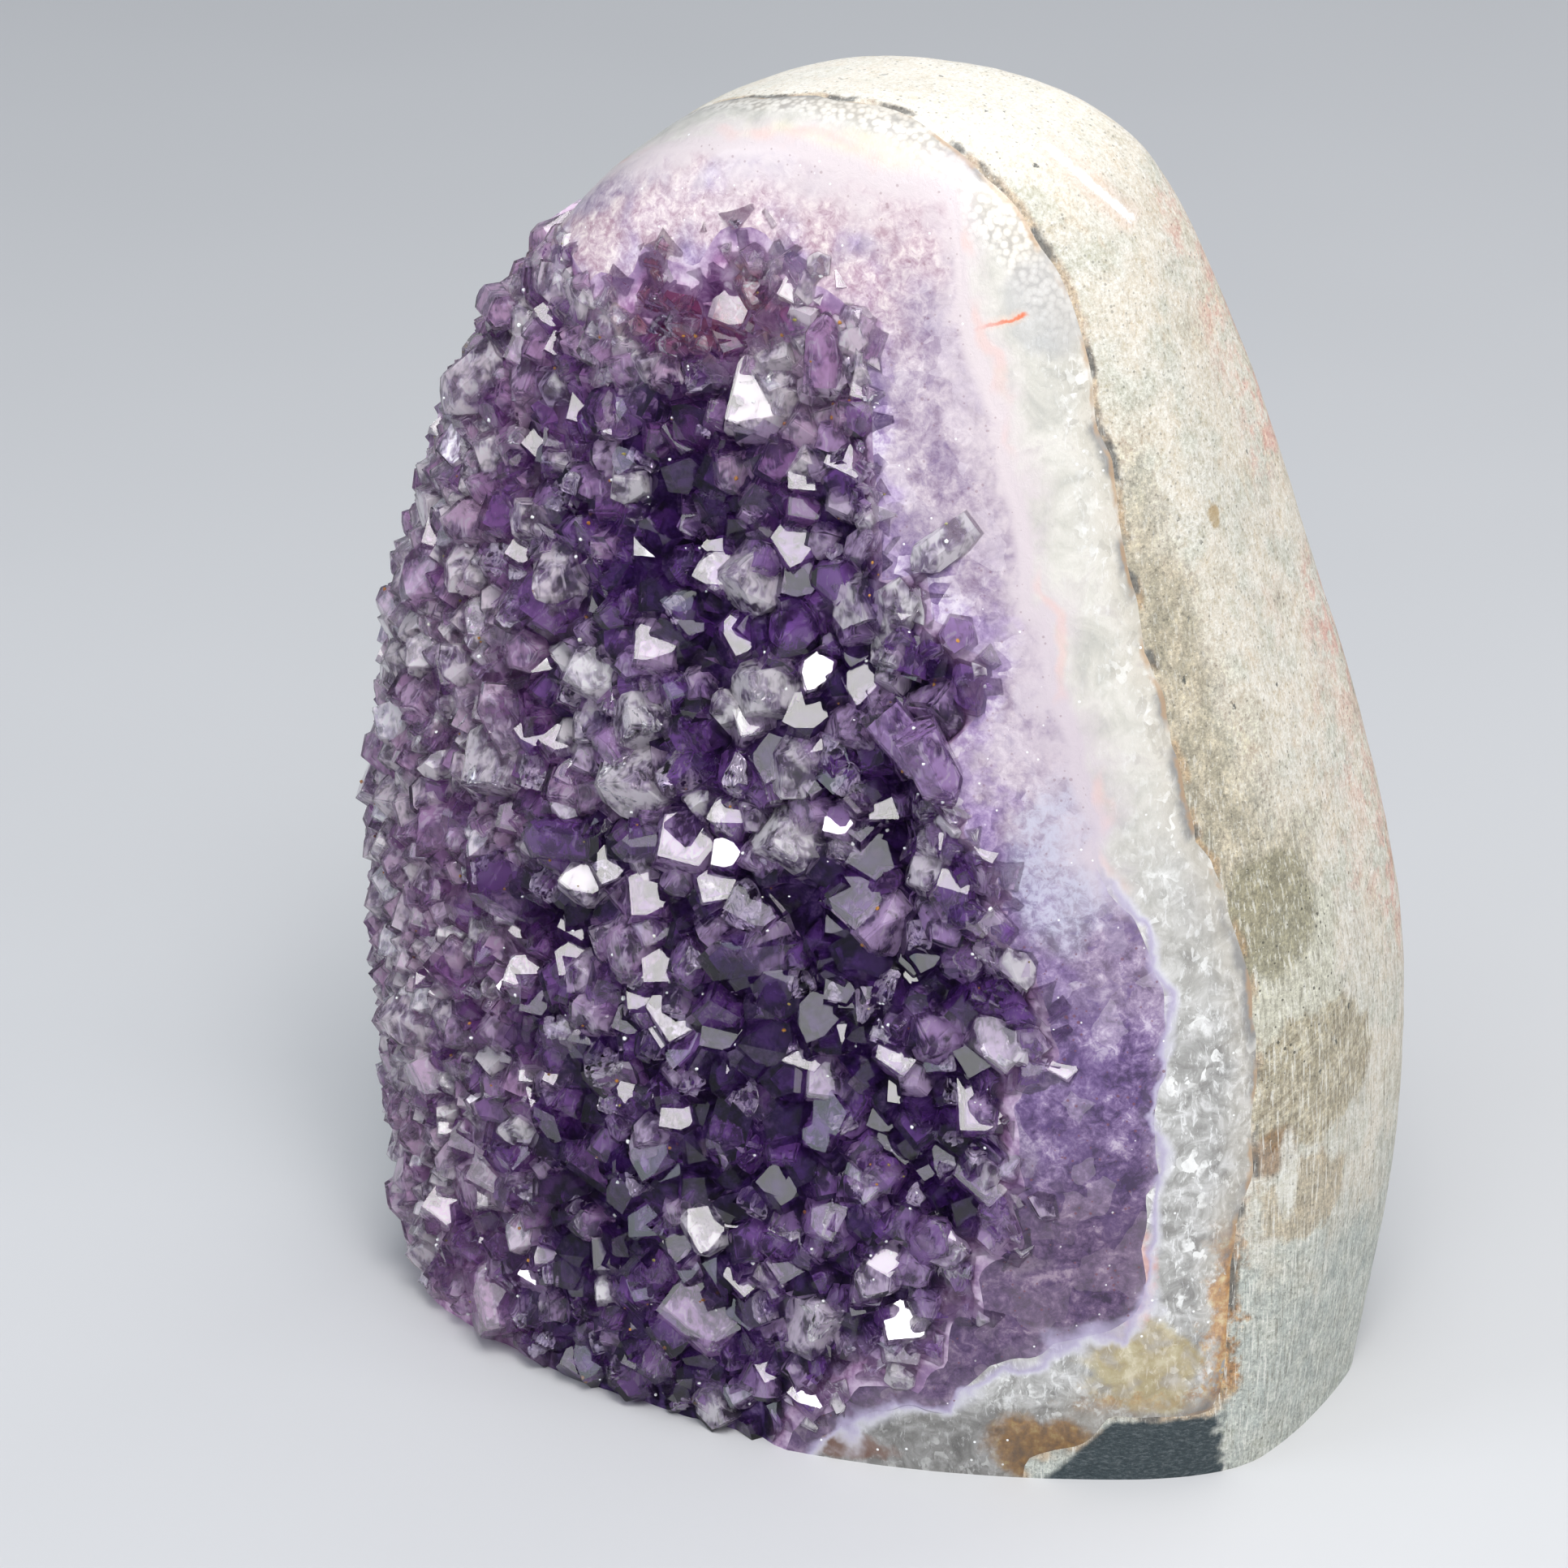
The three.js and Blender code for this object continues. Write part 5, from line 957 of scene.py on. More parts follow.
def contact(s, base, b, z):
    """The pale line and pink haze on both sides of the violet's outer edge; b is millimetres inside it."""
    lobes = s.cells(s.pos, 5.0, "F1", "Distance", 0.8)
    wander = s.add(s.add(s.math("MULTIPLY_ADD", s.noise(s.pos, 2.2, 3, 0.55), 1.6, -0.8), s.math("MULTIPLY_ADD", lobes, -2.0, 1.0)), b)
    high = s.fit(s.add(z, s.math("MULTIPLY_ADD", s.noise(s.pos, 8, 2), 14, -7)), 46, 66)
    # high up the violet fades into the quartz through a wide pink haze
    cloudy = s.fit(s.noise(s.pos, 3.0, 3, 0.6), 0.36, 0.6, 0.35, 1.0)
    soft = s.mul(s.mul(s.fit(s.math("ABSOLUTE", s.add(wander, -0.2)), s.add(1.2, s.mul(high, 2.8)), 0.1), s.add(0.15, s.mul(high, 0.8))), cloudy)
    # the border itself is lost in the haze
    soft = s.math("MAXIMUM", soft, s.mul(s.fit(s.math("ABSOLUTE", b), 1.6, 0.2), s.fit(high, 0.2, 0.8)))
    base = s.mix(soft, base, s.mix(s.fit(z, 60, 100), srgb(202, 190, 198), srgb(214, 202, 204)))
    rosy = s.mul(s.mul(s.fit(s.math("ABSOLUTE", s.add(wander, 0.9)), 0.8, 0.1), s.fit(s.noise(s.pos, 6, 2), 0.44, 0.6)), s.fit(z, 48, 58))
    base = s.mix(s.mul(rosy, 0.5), base, srgb(226, 190, 182))
    # low down a bluish white chalcedony line follows the scalloped edge
    width = s.fit(s.noise(s.pos, 4.0, 2), 0.35, 0.65, 0.35, 1.15)
    line = s.mul(s.fit(s.math("ABSOLUTE", s.add(wander, 0.3)), width, 0.0), s.fit(high, 0.9, 0.1))
    base = s.mix(s.mul(line, 0.9), base, s.mix(s.fit(wander, -0.7, -0.1), srgb(212, 210, 220), srgb(176, 166, 196)))
    return base


# the white scratch on the rock: middle, direction across it as seen from the camera, direction along it
def scratch_frame():
    eye = np.array([-0.0076715, 0.0004932, 0.049933]) * 1000 + VIEW * 520
    a, b = np.array([17.3, -3.0, 112.8]), np.array([24.2, -1.2, 106.9])
    return tuple((a + b) / 2), tuple(unit(np.cross(a - eye, b - eye))), tuple(unit(b - a))


SCRATCH = scratch_frame()


def rock_material():
    s = Shade("basalt_ground")
    c = s.attr("inC")                         # millimetres inside the quartz edge, so negative on the rock
    d = s.mul(c, -1.0)
    x, y, z = s.xyz(s.pos)
    base = s.ramp(s.noise(s.pos, 8, 2, 0.6), [(0.28, srgb(194, 188, 172)), (0.45, srgb(218, 210, 196)), (0.6, srgb(204, 200, 188)), (0.78, srgb(228, 219, 206))])
    green = s.fit(s.noise(s.pos, 4, 3, 0.6), 0.48, 0.7)
    base = s.mix(s.mul(green, 0.45), base, srgb(186, 190, 176))
    tan = s.fit(s.noise(s.vector("ADD", s.pos, (40, 7, 3)), 2.6, 4, 0.65, 0.4, (1, 1, 0.55)), 0.54, 0.7)
    base = s.mix(s.mul(tan, 0.4), base, srgb(206, 186, 158))
    # olive brown band along the quartz on the right side
    band = s.mul(s.fit(s.add(d, s.math("MULTIPLY_ADD", s.noise(s.pos, 5, 2), 9, -4.5)), s.add(4.0, s.fit(z, 90, 55, 0.0, 9.0)), 2), s.mul(s.fit(z, 38, 46), s.fit(z, 98, 80)))
    base = s.mix(s.mul(band, 0.8), base, s.ramp(s.noise(s.pos, 1.8, 4, 0.6, 0.0, (1, 1, 0.4)), [(0.38, srgb(142, 134, 112)), (0.62, srgb(186, 174, 150))]))
    # pink cast towards the right and back
    pink = s.mul(s.fit(s.add(d, s.math("MULTIPLY_ADD", s.noise(s.pos, 9, 2), 14, -7)), 11, 22), s.fit(z, 20, 45))
    pink = s.mul(pink, s.mul(s.fit(s.noise(s.pos, 2.6, 4, 0.7), 0.42, 0.62), s.fit(s.noise(s.pos, 18, 2), 0.38, 0.6)))
    base = s.mix(s.mul(pink, 0.7), base, srgb(214, 158, 144))
    behind = s.fit(y, 8, 16)
    cloudb = s.fit(s.noise(s.vector("ADD", s.pos, (50, 0, 20)), 12, 3, 0.6), 0.5, 0.68)
    base = s.mix(s.mul(s.mul(cloudb, behind), 0.55), base, srgb(150, 146, 130))
    seam = s.math("ABSOLUTE", s.add(s.vector("DOT_PRODUCT", s.pos, (0.42, 0.0, 0.9)), s.math("MULTIPLY_ADD", s.noise(s.pos, 9, 2, 0.6), 14, -69)))
    base = s.mix(s.mul(s.mul(s.fit(seam, 0.5, 0.1), behind), 0.7), base, srgb(172, 128, 88))
    # painted highlight: the top of the rock is lightened towards near white above 108 mm
    base = s.mix(s.mul(s.fit(z, 108, 114.5), 0.5), base, srgb(250, 243, 232))
    # blue grey low part
    low = s.fit(s.add(z, s.math("MULTIPLY_ADD", s.noise(s.pos, 7, 3, 0.65), 34, -17)), 31, 14)
    base = s.mix(s.mul(low, 0.85), base, s.ramp(s.noise(s.pos, 3, 4, 0.6), [(0.35, srgb(164, 173, 170)), (0.65, srgb(190, 194, 186))]))
    # patches on the lower right: cream with black specks, brown with oblique scores, tan, grey green
    cream = s.spot((43.1, -9.1, 44.0), (3.2, 9, 8.5), 0.5, 4, 5, (1.1, 0.9))
    base = s.mix(s.mul(cream, 0.9), base, srgb(194, 192, 176))
    olive = s.spot((40.5, -8.5, 50.5), (4.0, 6, 6.0), 0.5, 3, 4, (1.1, 0.8))
    base = s.mix(s.mul(olive, 0.85), base, srgb(144, 139, 116))
    oblique = s.noise(s.pos, 0.55, 3, 0.72, 0.0, (0.8, 1.0, 0.35))
    across = s.vector("DOT_PRODUCT", s.pos, (-0.42, -0.28, 0.86))
    slant = s.new("ShaderNodeCombineXYZ")
    s.put(slant.inputs[0], across)
    s.put(slant.inputs[1], s.mul(y, 0.12))
    slant = s.noise(slant.outputs[0], 0.6, 3, 0.7)
    brown = s.spot((44.6, -6.5, 35.2), (4.5, 10, 6.2), 0.55, 5, 4, (1.08, 0.92))
    umber = s.ramp(s.add(s.mul(oblique, 0.5), s.mul(slant, 0.5)), [(0.36, srgb(124, 110, 86)), (0.5, srgb(166, 156, 132)), (0.64, srgb(208, 200, 180))])
    base = s.mix(s.mul(brown, 0.85), base, umber)
    tan2 = s.spot((44.6, -8.0, 24.5), (3.5, 6, 4.0), 0.5, 4, 3, (1.1, 0.9))
    base = s.mix(s.mul(tan2, 0.6), base, srgb(172, 154, 124))
    rust = s.spot((42.6, -11.0, 29.5), (2.0, 3, 2.4), 0.6)
    base = s.mix(s.mul(rust, 0.7), base, srgb(132, 96, 58))
    white = s.spot((43.4, -9.6, 27.0), (1.0, 1.5, 5.0), 0.4, 4, 2)
    base = s.mix(s.mul(white, 0.7), base, srgb(226, 226, 218))
    # rust along the quartz near the foot
    iron = s.mul(s.mul(s.fit(s.add(d, s.math("MULTIPLY_ADD", s.noise(s.pos, 2.0, 4, 0.7), 7, -3.5)), 1.4, 0.0), s.fit(z, 28, 18)), s.fit(z, 5, 9))
    base = s.mix(s.mul(iron, 0.85), base, s.ramp(s.noise(s.pos, 1.4, 4, 0.65), [(0.35, srgb(92, 70, 42)), (0.5, srgb(164, 112, 54)), (0.66, srgb(196, 160, 104))]))
    # thin warm and grey line along the rest of the contact
    near = s.fit(s.add(d, s.math("MULTIPLY_ADD", s.noise(s.pos, 1.6, 3), 0.9, -0.45)), 0.75, 0.25)
    line = s.mul(near, s.fit(s.noise(s.pos, 4, 3), 0.42, 0.56))
    base = s.mix(s.mul(line, 0.6), base, srgb(178, 146, 110))
    grey = s.mul(near, s.fit(s.noise(s.vector("ADD", s.pos, (9, 3, 5)), 5, 3), 0.52, 0.6))
    base = s.mix(s.mul(grey, 0.85), base, srgb(90, 92, 92))
    # fine mineral grain at two scales
    grain = s.noise(s.pos, 0.34, 3, 0.8)
    coarse = s.noise(s.pos, 1.1, 4, 0.72)
    base = s.mix(0.9, base, s.ramp(s.add(s.mul(grain, 0.6), s.mul(coarse, 0.4)), [(0.34, (0.24, 0.24, 0.24)), (0.5, (0.5, 0.5, 0.5)), (0.66, (0.82, 0.81, 0.78))]), "OVERLAY")
    # fine grinding marks, mostly up and down
    streak = s.noise(s.pos, 0.30, 3, 0.75, 0.0, (1, 1, 0.08))
    lower = s.fit(z, 76, 40, 0.5, 1.0)
    base = s.mix(s.mul(s.mul(s.fit(streak, 0.53, 0.66), 0.6), lower), base, srgb(240, 238, 230))
    base = s.mix(s.mul(s.mul(s.fit(streak, 0.46, 0.34), 0.55), lower), base, srgb(118, 114, 102))
    # dark specks and pits
    v = s.add(s.cells(s.pos, 2.4, stretch=(1, 1, 0.75)), s.math("MULTIPLY_ADD", s.noise(s.pos, 0.5, 4, 0.7), 0.5, -0.25))
    specks = s.mul(s.fit(v, 0.10, 0.04), s.fit(s.noise(s.pos, 6, 2), 0.44, 0.56))
    base = s.mix(s.mul(specks, 0.85), base, srgb(70, 74, 72))
    v2 = s.add(s.cells(s.pos, 0.75), s.math("MULTIPLY_ADD", s.noise(s.pos, 3, 3), -0.35, 0.17))
    fine = s.fit(v2, 0.17, 0.10)
    base = s.mix(s.mul(fine, s.add(0.45, s.mul(cream, 0.4))), base, srgb(72, 70, 62))
    light = s.fit(s.cells(s.vector("ADD", s.pos, (5, 5, 5)), 0.6), 0.14, 0.07)
    base = s.mix(s.mul(light, 0.6), base, srgb(238, 234, 222))
    pit = s.spot((33.2, -4.2, 83.4), (0.8, 0.8, 1.2), 0.6, 2, 0.8, (1.2, 0.7))
    base = s.mix(s.mul(pit, 0.7), base, srgb(164, 138, 92))
    scratch = s.math("ABSOLUTE", s.vector("DOT_PRODUCT", s.vector("SUBTRACT", s.pos, SCRATCH[0]), SCRATCH[1]))
    along = s.math("ABSOLUTE", s.vector("DOT_PRODUCT", s.vector("SUBTRACT", s.pos, SCRATCH[0]), SCRATCH[2]))
    wild = s.math("MULTIPLY_ADD", s.noise(s.pos, 0.6, 3, 0.7), 1.0, -0.5)
    front = s.fit(y, 12, 8)
    halo = s.mul(s.mul(s.fit(s.add(scratch, wild), 1.7, 0.4), s.fit(along, 5.6, 4.4)), front)
    base = s.mix(s.mul(halo, 0.35), base, srgb(226, 196, 182))
    scratch = s.mul(s.mul(s.fit(s.add(scratch, s.mul(wild, 0.9)), 0.46, 0.2), s.fit(s.add(along, s.mul(wild, 3.0)), 5.0, 4.2)), front)
    base = s.mix(s.mul(scratch, 0.85), base, srgb(238, 238, 236))
    # dark blue grey strip along the foot on the right
    foot = s.add(z, s.math("MULTIPLY_ADD", s.noise(s.pos, 1.2, 3), 1.0, -0.5))
    foot = s.mul(s.mul(s.fit(foot, 6.0, 5.5), s.fit(s.add(foot, s.mul(s.add(x, -27.0), -1.1)), 0.6, -0.4)), s.fit(s.add(s.vector("DOT_PRODUCT", s.pos, (0.913, 0.407, 0)), s.math("MULTIPLY_ADD", s.noise(s.pos, 1.5, 3), 5, -2.5)), 31.6, 30.0))
    dark_foot_colour = s.ramp(s.noise(s.pos, 0.5, 5, 0.75, 0.0, (1, 1, 2.5)), [(0.36, srgb(24, 38, 46)), (0.5, srgb(42, 57, 63)), (0.66, srgb(90, 97, 101))])
    base = s.mix(s.mul(foot, 0.97), base, dark_foot_colour)
    height = s.add(s.mul(grain, 1.0), s.mul(coarse, 1.2))
    p = s.principled(Base_Color=base, Roughness=s.fit(grain, 0.3, 0.7, 0.6, 0.85, False), IOR=1.5, Normal=s.bump(height, 0.16, 0.8))
    return s.mat


def quartz_material():
    s = Shade("quartz_polished")
    b, c = s.attr("inB"), s.attr("inC")       # b is negative outside the violet, c positive inside the rock edge
    x, y, z = s.xyz(s.pos)
    low = s.fit(s.add(z, s.math("MULTIPLY_ADD", s.noise(s.pos, 9, 2), 22, -11)), 70, 38)
    cloud = s.noise(s.pos, 4.2, 4, 0.6, 0.6)
    bright = s.ramp(cloud, [(0.30, srgb(178, 177, 170)), (0.45, srgb(202, 199, 190)), (0.58, srgb(218, 214, 206)), (0.72, srgb(196, 189, 186))])
    dim = s.ramp(s.noise(s.pos, 2.4, 4, 0.65, 1.0), [(0.30, srgb(132, 130, 128)), (0.45, srgb(164, 163, 160)), (0.56, srgb(190, 189, 187)), (0.70, srgb(220, 219, 219))])
    base = s.mix(low, bright, dim)
    # broken crystals inside: white flakes and dark chinks, many below and towards the rock, few above
    warped = s.vector("ADD", s.pos, s.vector("SCALE", s.noise_colour(s.pos, 1.4, 1), scale=2.2))
    flake = s.xyz(s.cells(warped, 0.62, "F1", "Color", 1.0, (1.0, 1.0, 0.6)))
    rocky = s.fit(s.add(c, s.math("MULTIPLY_ADD", s.noise(s.pos, 4, 3), 6, -3)), 4.5, 0.8)
    busy = s.math("MAXIMUM", s.mul(low, 0.8), s.mul(rocky, 0.75))
    patchy = s.fit(s.noise(s.pos, 2.2, 4, 0.65), 0.46, 0.62)
    white = s.mul(s.fit(flake[0], 0.66, 0.84), s.mul(patchy, s.add(0.05, busy)))
    base = s.mix(s.mul(white, 0.95), base, srgb(248, 248, 246))
    chink = s.mul(s.fit(flake[1], 0.22, 0.08), s.mul(busy, 0.35))
    base = s.mix(chink, base, srgb(118, 114, 110))
    streaky = s.noise(s.pos, 0.5, 4, 0.75, 0.6, (1.0, 1.0, 0.35))
    base = s.mix(s.mul(s.fit(streaky, 0.54, 0.66), s.add(0.12, s.mul(busy, 0.65))), base, srgb(244, 244, 244))
    base = s.mix(s.mul(s.fit(streaky, 0.42, 0.3), s.mul(busy, 0.4)), base, srgb(134, 130, 126))
    # sugary white crust at the top next to the rock
    crust = s.mul(s.fit(s.add(c, s.math("MULTIPLY_ADD", s.noise(s.pos, 1.6, 4), 2.4, -1.2)), 3.4, 1.8), s.fit(z, 96, 104))
    sugar = s.ramp(s.cells(s.pos, 0.55, "F1", "Distance"), [(0.15, srgb(250, 246, 240)), (0.5, srgb(228, 222, 214)), (0.75, srgb(170, 164, 158))])
    base = s.mix(s.mul(crust, 0.8), base, sugar)
    # warm and grey tints near the rock
    near = s.fit(s.add(c, s.math("MULTIPLY_ADD", s.noise(s.pos, 3.0, 3), 3, -1.5)), 3.2, 0.6)
    base = s.mix(s.mul(near, 0.35), base, srgb(196, 186, 168))
    smoky = s.mul(s.fit(s.add(c, s.math("MULTIPLY_ADD", s.noise(s.pos, 1.2, 3), 1.2, -0.6)), 1.3, 0.4), s.fit(s.noise(s.pos, 6, 2), 0.5, 0.6))
    base = s.mix(s.mul(smoky, 0.75), base, srgb(120, 120, 122))
    ochre = s.mul(s.fit(s.add(c, s.math("MULTIPLY_ADD", s.noise(s.pos, 0.9, 3), 0.8, -0.4)), 0.55, 0.2), s.fit(s.noise(s.vector("ADD", s.pos, (3, 9, 1)), 4, 3), 0.44, 0.56))
    base = s.mix(s.mul(ochre, 0.65), base, srgb(182, 146, 106))
    yellow = s.spot((1.0, -9.5, 112.2), (9, 5, 2.0), 0.5)
    base = s.mix(s.mul(yellow, 0.4), base, srgb(244, 234, 196))
    haze = s.spot((20.5, -10.8, 102.0), (3.5, 4, 4.5), 0.5)
    base = s.mix(s.mul(haze, 0.5), base, srgb(178, 178, 180))
    # iron stains at the foot
    amber = s.spot((34.5, -18.6, 11.0), (5.5, 5, 4.6), 0.6, 4, 3)
    base = s.mix(s.mul(amber, 0.55), base, s.ramp(s.noise(s.pos, 1.8, 4), [(0.35, srgb(206, 190, 132)), (0.5, srgb(184, 160, 86)), (0.65, srgb(166, 150, 120))]))
    iron = s.mul(s.mul(s.fit(s.add(c, s.math("MULTIPLY_ADD", s.noise(s.pos, 1.8, 4, 0.7), 7, -3.5)), 2.2, 0.6), s.fit(z, 26, 18)), s.fit(z, 6, 9))
    iron = s.mul(iron, s.fit(white, 0.6, 0.1))
    base = s.mix(s.mul(iron, 0.75), base, s.ramp(s.noise(s.pos, 1.1, 4, 0.65), [(0.35, srgb(120, 80, 36)), (0.5, srgb(186, 130, 58)), (0.66, srgb(220, 196, 140))]))
    iron2 = s.spot((26.5, -22.4, 3.0), (5.0, 4, 3.2), 0.6, 4, 3)
    base = s.mix(s.mul(iron2, 0.85), base, s.ramp(s.noise(s.pos, 1.0, 4, 0.65), [(0.35, srgb(118, 82, 40)), (0.55, srgb(176, 126, 56)), (0.7, srgb(206, 176, 110))]))
    iron3 = s.spot((8.0, -26.4, 1.5), (7, 4, 1.4), 0.6, 4, 2)
    base = s.mix(s.mul(iron3, 0.7), base, srgb(150, 92, 64))
    blush = s.spot((33.6, -19.2, 19.5), (1.6, 3, 4.5), 0.6, 4, 1.5)
    base = s.mix(s.mul(blush, 0.6), base, srgb(222, 156, 150))
    # orange healed crack
    crack = s.vector("DOT_PRODUCT", s.vector("SUBTRACT", s.pos, (16.4, -12.5, 100.3)), (-0.28, -0.1, 0.95))
    crack = s.math("ABSOLUTE", s.add(crack, s.math("MULTIPLY_ADD", s.noise(s.pos, 1.3, 4, 0.6), 1.1, -0.55)))
    reach = s.vector("LENGTH", s.vector("DIVIDE", s.vector("SUBTRACT", s.pos, (16.0, -12.4, 100.1)), (4.4, 3.0, 3.0)))
    base = s.mix(s.mul(s.mul(s.fit(crack, 0.7, 0.1), s.fit(reach, 1.0, 0.6)), 0.5), base, srgb(232, 196, 172))
    crack = s.mul(s.fit(crack, 0.24, 0.06), s.fit(reach, 0.95, 0.8))
    base = s.mix(s.mul(crack, 0.9), base, srgb(222, 112, 66))
    # painted shade: the quartz is darkened towards the foot, below 11 mm
    base = s.mix(s.mul(s.fit(z, 11, 3.0), 0.55), base, srgb(92, 88, 84), "MULTIPLY")
    base = contact(s, base, b, z)
    # painted glints: sparse near-white dots in the base colour stand in for sparkles on the polish
    painted_glint_dots = s.mul(s.fit(s.cells(s.pos, 1.7), 0.085, 0.05), s.fit(s.noise(s.pos, 5, 2), 0.42, 0.55))
    base = s.mix(painted_glint_dots, base, (0.97, 0.97, 0.97))
    height = s.add(s.mul(streaky, 1.2), s.mul(cloud, 0.8))
    p = s.principled(Base_Color=base, Roughness=0.42, IOR=1.54, Normal=s.bump(height, 0.14, 0.55))
    p.inputs["Specular IOR Level"].default_value = 0.4
    p.inputs["Coat Weight"].default_value = 0.55
    p.inputs["Coat Roughness"].default_value = 0.14
    return s.mat


def violet_rim_material():
    s = Shade("amethyst_polished")
    b = s.attr("inB")                         # millimetres inside the violet's outer edge
    x, y, z = s.xyz(s.pos)
    high = s.fit(s.add(z, s.math("MULTIPLY_ADD", s.noise(s.pos, 8, 2), 24, -12)), 40, 64)
    cloud = s.noise(s.pos, 3.0, 4, 0.6, 0.6)
    small = s.noise(s.pos, 0.9, 4, 0.72, 0.4)
    mixed = s.add(s.mul(cloud, 0.5), s.mul(small, 0.5))
    deep = s.ramp(mixed, [(0.40, srgb(62, 42, 84)), (0.46, srgb(92, 68, 116)), (0.51, srgb(118, 94, 140)), (0.56, srgb(146, 124, 164)), (0.63, srgb(196, 182, 204))])
    pale = s.ramp(mixed, [(0.38, srgb(142, 122, 144)), (0.46, srgb(168, 151, 170)), (0.54, srgb(192, 177, 188)), (0.64, srgb(219, 207, 213))])
    rim = s.mix(high, deep, pale)
    clot = s.fit(s.noise(s.vector("ADD", s.pos, (30, 2, 8)), 1.7, 4, 0.7, 0.8), 0.55, 0.66)
    rim = s.mix(s.mul(clot, s.fit(high, 0.0, 1.0, 0.65, 0.3)), rim, srgb(88, 60, 122))
    ghost = s.xyz(s.cells(s.vector("ADD", s.pos, s.vector("SCALE", s.noise_colour(s.pos, 2.0, 1), scale=1.5)), 2.6, "F1", "Color"))
    rim = s.mix(s.mul(s.fit(ghost[0], 0.72, 0.9), s.fit(high, 0.0, 1.0, 0.16, 0.26)), rim, srgb(222, 212, 224))
    rim = s.mix(s.mul(s.fit(ghost[1], 0.26, 0.1), s.fit(high, 0.0, 1.0, 0.4, 0.2)), rim, srgb(98, 74, 128))
    beside = s.fit(s.add(s.mul(s.attr("inA"), -1.0), s.math("MULTIPLY_ADD", s.noise(s.pos, 2.6, 3, 0.6), 9, -4.5)), 4.2, 0.6)
    shade = s.ramp(s.add(s.mul(small, 0.5), s.mul(ghost[2], 0.3)), [(0.26, srgb(92, 62, 124)), (0.36, srgb(136, 108, 164)), (0.46, srgb(176, 152, 196)), (0.56, srgb(226, 216, 230))])
    rim = s.mix(s.mul(beside, 0.75), rim, s.mix(s.fit(high, 0.0, 1.0, 0.6, 0.0), shade, s.ramp(mixed, [(0.42, srgb(44, 28, 64)), (0.52, srgb(92, 68, 116)), (0.62, srgb(152, 130, 170))])))
    haze = s.spot((26.5, -19.0, 57.5), (5, 6, 8), 0.6, 4, 5)
    rim = s.mix(s.mul(haze, s.fit(small, 0.4, 0.6, 0.3, 0.75)), rim, srgb(190, 190, 208))
    warm = s.mul(s.fit(s.add(z, s.mul(x, -0.4)), 90, 104), s.fit(s.noise(s.pos, 5, 2), 0.3, 0.56))
    rim = s.mix(s.mul(warm, 0.85), rim, s.ramp(small, [(0.36, srgb(172, 136, 148)), (0.5, srgb(206, 182, 188)), (0.64, srgb(236, 222, 216))]))
    # darker towards the bottom
    footing = s.fit(s.add(z, s.math("MULTIPLY_ADD", s.noise(s.pos, 5, 2), 12, -6)), 38, 22)
    rim = s.mix(s.mul(footing, 0.8), rim, srgb(184, 168, 172), "MULTIPLY")
    rim = contact(s, rim, b, z)
    # brown red inclusions, more of them low down than high up
    brown = s.add(s.cells(s.pos, 0.75), s.math("MULTIPLY_ADD", s.noise(s.pos, 2.4, 3), -0.5, 0.25))
    rim = s.mix(s.mul(s.fit(brown, 0.15, 0.07), s.fit(high, 1.0, 0.0, 0.35, 0.7)), rim, srgb(112, 62, 72))
    # painted glints: sparse near-white specks in the base colour stand in for sparkles on the polish
    specks = s.mul(s.fit(s.cells(s.pos, 1.2), 0.10, 0.055), s.fit(cloud, 0.46, 0.56))
    base = s.mix(specks, rim, (0.97, 0.95, 0.97))
    p = s.principled(Base_Color=base, Roughness=0.42, IOR=1.54, Normal=s.bump(mixed, 0.24, 0.55))
    p.inputs["Specular IOR Level"].default_value = 0.35
    p.inputs["Coat Weight"].default_value = 0.55
    p.inputs["Coat Roughness"].default_value = 0.13
    return s.mat


def violet_floor_material():
    s = Shade("amethyst_floor")
    a, pale = s.attr("inA"), s.attr("pale")
    n = s.noise(s.pos, 2.2, 4, 0.65)
    dark = s.ramp(n, [(0.32, srgb(12, 8, 22)), (0.46, srgb(36, 22, 58)), (0.56, srgb(76, 52, 106)), (0.70, srgb(140, 116, 164))])
    light = s.ramp(n, [(0.3, srgb(112, 68, 116)), (0.45, srgb(172, 128, 170)), (0.56, srgb(216, 184, 212)), (0.70, srgb(246, 236, 242))])
    base = s.mix(s.math("MAXIMUM", pale, s.mul(s.fit(a, 2.0, 0.3), 0.7)), dark, light)
    base = s.mix(s.mul(s.fit(a, 1.0, 0.3), 0.7), base, s.ramp(n, [(0.4, srgb(146, 122, 158)), (0.6, srgb(196, 180, 200))]))
    p = s.principled(Base_Color=base, Roughness=0.5, IOR=1.5)
    p.inputs["Specular IOR Level"].default_value = 0.2
    return s.mat


def crystal_material():
    s = Shade("amethyst_clear")
    tint = s.ramp(s.add(s.attr("tone"), s.math("MULTIPLY_ADD", s.attr("rnd"), 0.24, -0.12)),
                  [(0.0, (0.60, 0.51, 0.70)), (0.35, (0.85, 0.76, 0.90)), (0.7, (0.97, 0.93, 0.99)), (1.0, (1.0, 0.99, 1.0))])
    p = s.principled(Base_Color=tint, Roughness=0.025, IOR=1.544)
    p.inputs["Transmission Weight"].default_value = 1.0
    v = s.new("ShaderNodeVolumeAbsorption")
    v.inputs["Color"].default_value = (0.60, 0.25, 0.65, 1.0)
    v.inputs["Density"].default_value = 120.0
    s.tree.links.new(v.outputs[0], s.output.inputs["Volume"])
    return s.mat


